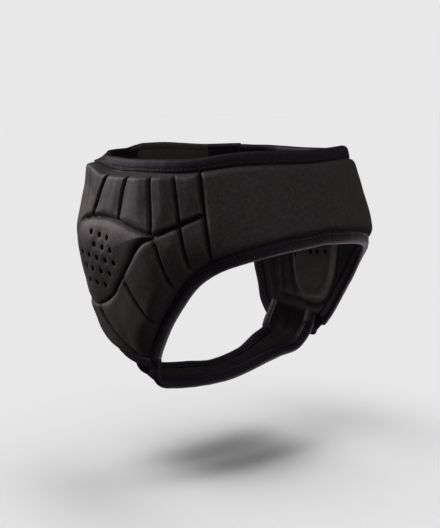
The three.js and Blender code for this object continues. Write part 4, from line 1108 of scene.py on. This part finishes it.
def sun(name, azimuth, elevation, strength, angle, on, colour=(1, 1, 1)):
    """A soft light from far off, given by where it comes from."""
    d = bpy.data.lights.new(name, "SUN")
    d.energy, d.angle, d.color = strength, math.radians(angle), colour
    o = bpy.data.objects.new(name, d)
    a, e = math.radians(azimuth), math.radians(elevation)
    source = Vector((math.sin(a) * math.cos(e), -math.cos(a) * math.cos(e), math.sin(e)))
    o.rotation_mode = "QUATERNION"
    o.rotation_quaternion = (-source).to_track_quat("-Z", "Y")
    bpy.context.scene.collection.objects.link(o)
    o.light_linking.receiver_collection = on


WARM = (1.0, 0.895, 0.92)
sun("key", -150, 26, 2.1, 34, ON_KEY, WARM)
sun("top", -60, 76, 0.45, 60, ON_PIECES, WARM)
sun("front", 14, 34, 0.6, 140, ON_PIECES, WARM)
sun("fill", -45, 14, 0.22, 100, ON_PIECES, WARM)
sun("bounce", 20, -38, 0.28, 120, ON_PIECES, WARM)
sun("low", 95, -46, 3.0, 80, ON_TAPES, WARM)
sun("far_key", -150, 26, 1.0, 34, ON_FAR_KEY, WARM)
sun("inside", -30, -6, 1.9, 50, ON_FAR, WARM)
# the floor's own light: a ring overhead
FLOOR_LIGHTS, FLOOR_LIGHT_EL = 12, 66
for k in range(FLOOR_LIGHTS):
    sun("floor_%d" % k, 53 + 360 * k / FLOOR_LIGHTS, FLOOR_LIGHT_EL,
        0.806 * math.pi / 0.8 / FLOOR_LIGHTS / math.sin(math.radians(FLOOR_LIGHT_EL)), 24, ON_FLOOR)

world = bpy.data.worlds.new("studio")
bpy.context.scene.world = world
world.use_nodes = True
world.node_tree.nodes["Background"].inputs["Color"].default_value = (0.806, 0.806, 0.806, 1)
world.node_tree.nodes["Background"].inputs["Strength"].default_value = 1.0
world.cycles_visibility.diffuse = False
world.cycles_visibility.glossy = False
bpy.context.scene.view_settings.view_transform = "Standard"
bpy.context.scene.view_settings.look = "None"

# ---------------------------------------------------------------- camera
AZ, EL, ROLL, FAR, FOCAL = math.radians(-36.967), math.radians(6.845), math.radians(1.956), 698.81, 1002.03
ORIGIN_AT = (226.2, 232.45)
back_v = Vector((math.sin(AZ) * math.cos(EL), -math.cos(AZ) * math.cos(EL), math.sin(EL)))
right_v = Vector((math.cos(AZ), math.sin(AZ), 0))
up_v = back_v.cross(right_v)
cam_x = math.cos(ROLL) * right_v - math.sin(ROLL) * up_v
cam_y = math.sin(ROLL) * right_v + math.cos(ROLL) * up_v
turn0 = Matrix((cam_x, cam_y, back_v)).transposed()
to_origin = Vector(((ORIGIN_AT[0] - 220) / FOCAL, -(ORIGIN_AT[1] - 264) / FOCAL, -1)).normalized()
aim = to_origin.rotation_difference(Vector((0, 0, -1))).to_matrix()
data = bpy.data.cameras.new("camera")
data.sensor_width, data.lens = 36.0, FOCAL / 528 * 36
data.clip_start, data.clip_end = 0.05, 200
camera = bpy.data.objects.new("camera", data)
camera.matrix_world = Matrix.Translation(back_v * FAR * MM) @ (turn0 @ aim).to_4x4()
bpy.context.scene.collection.objects.link(camera)
bpy.context.scene.camera = camera
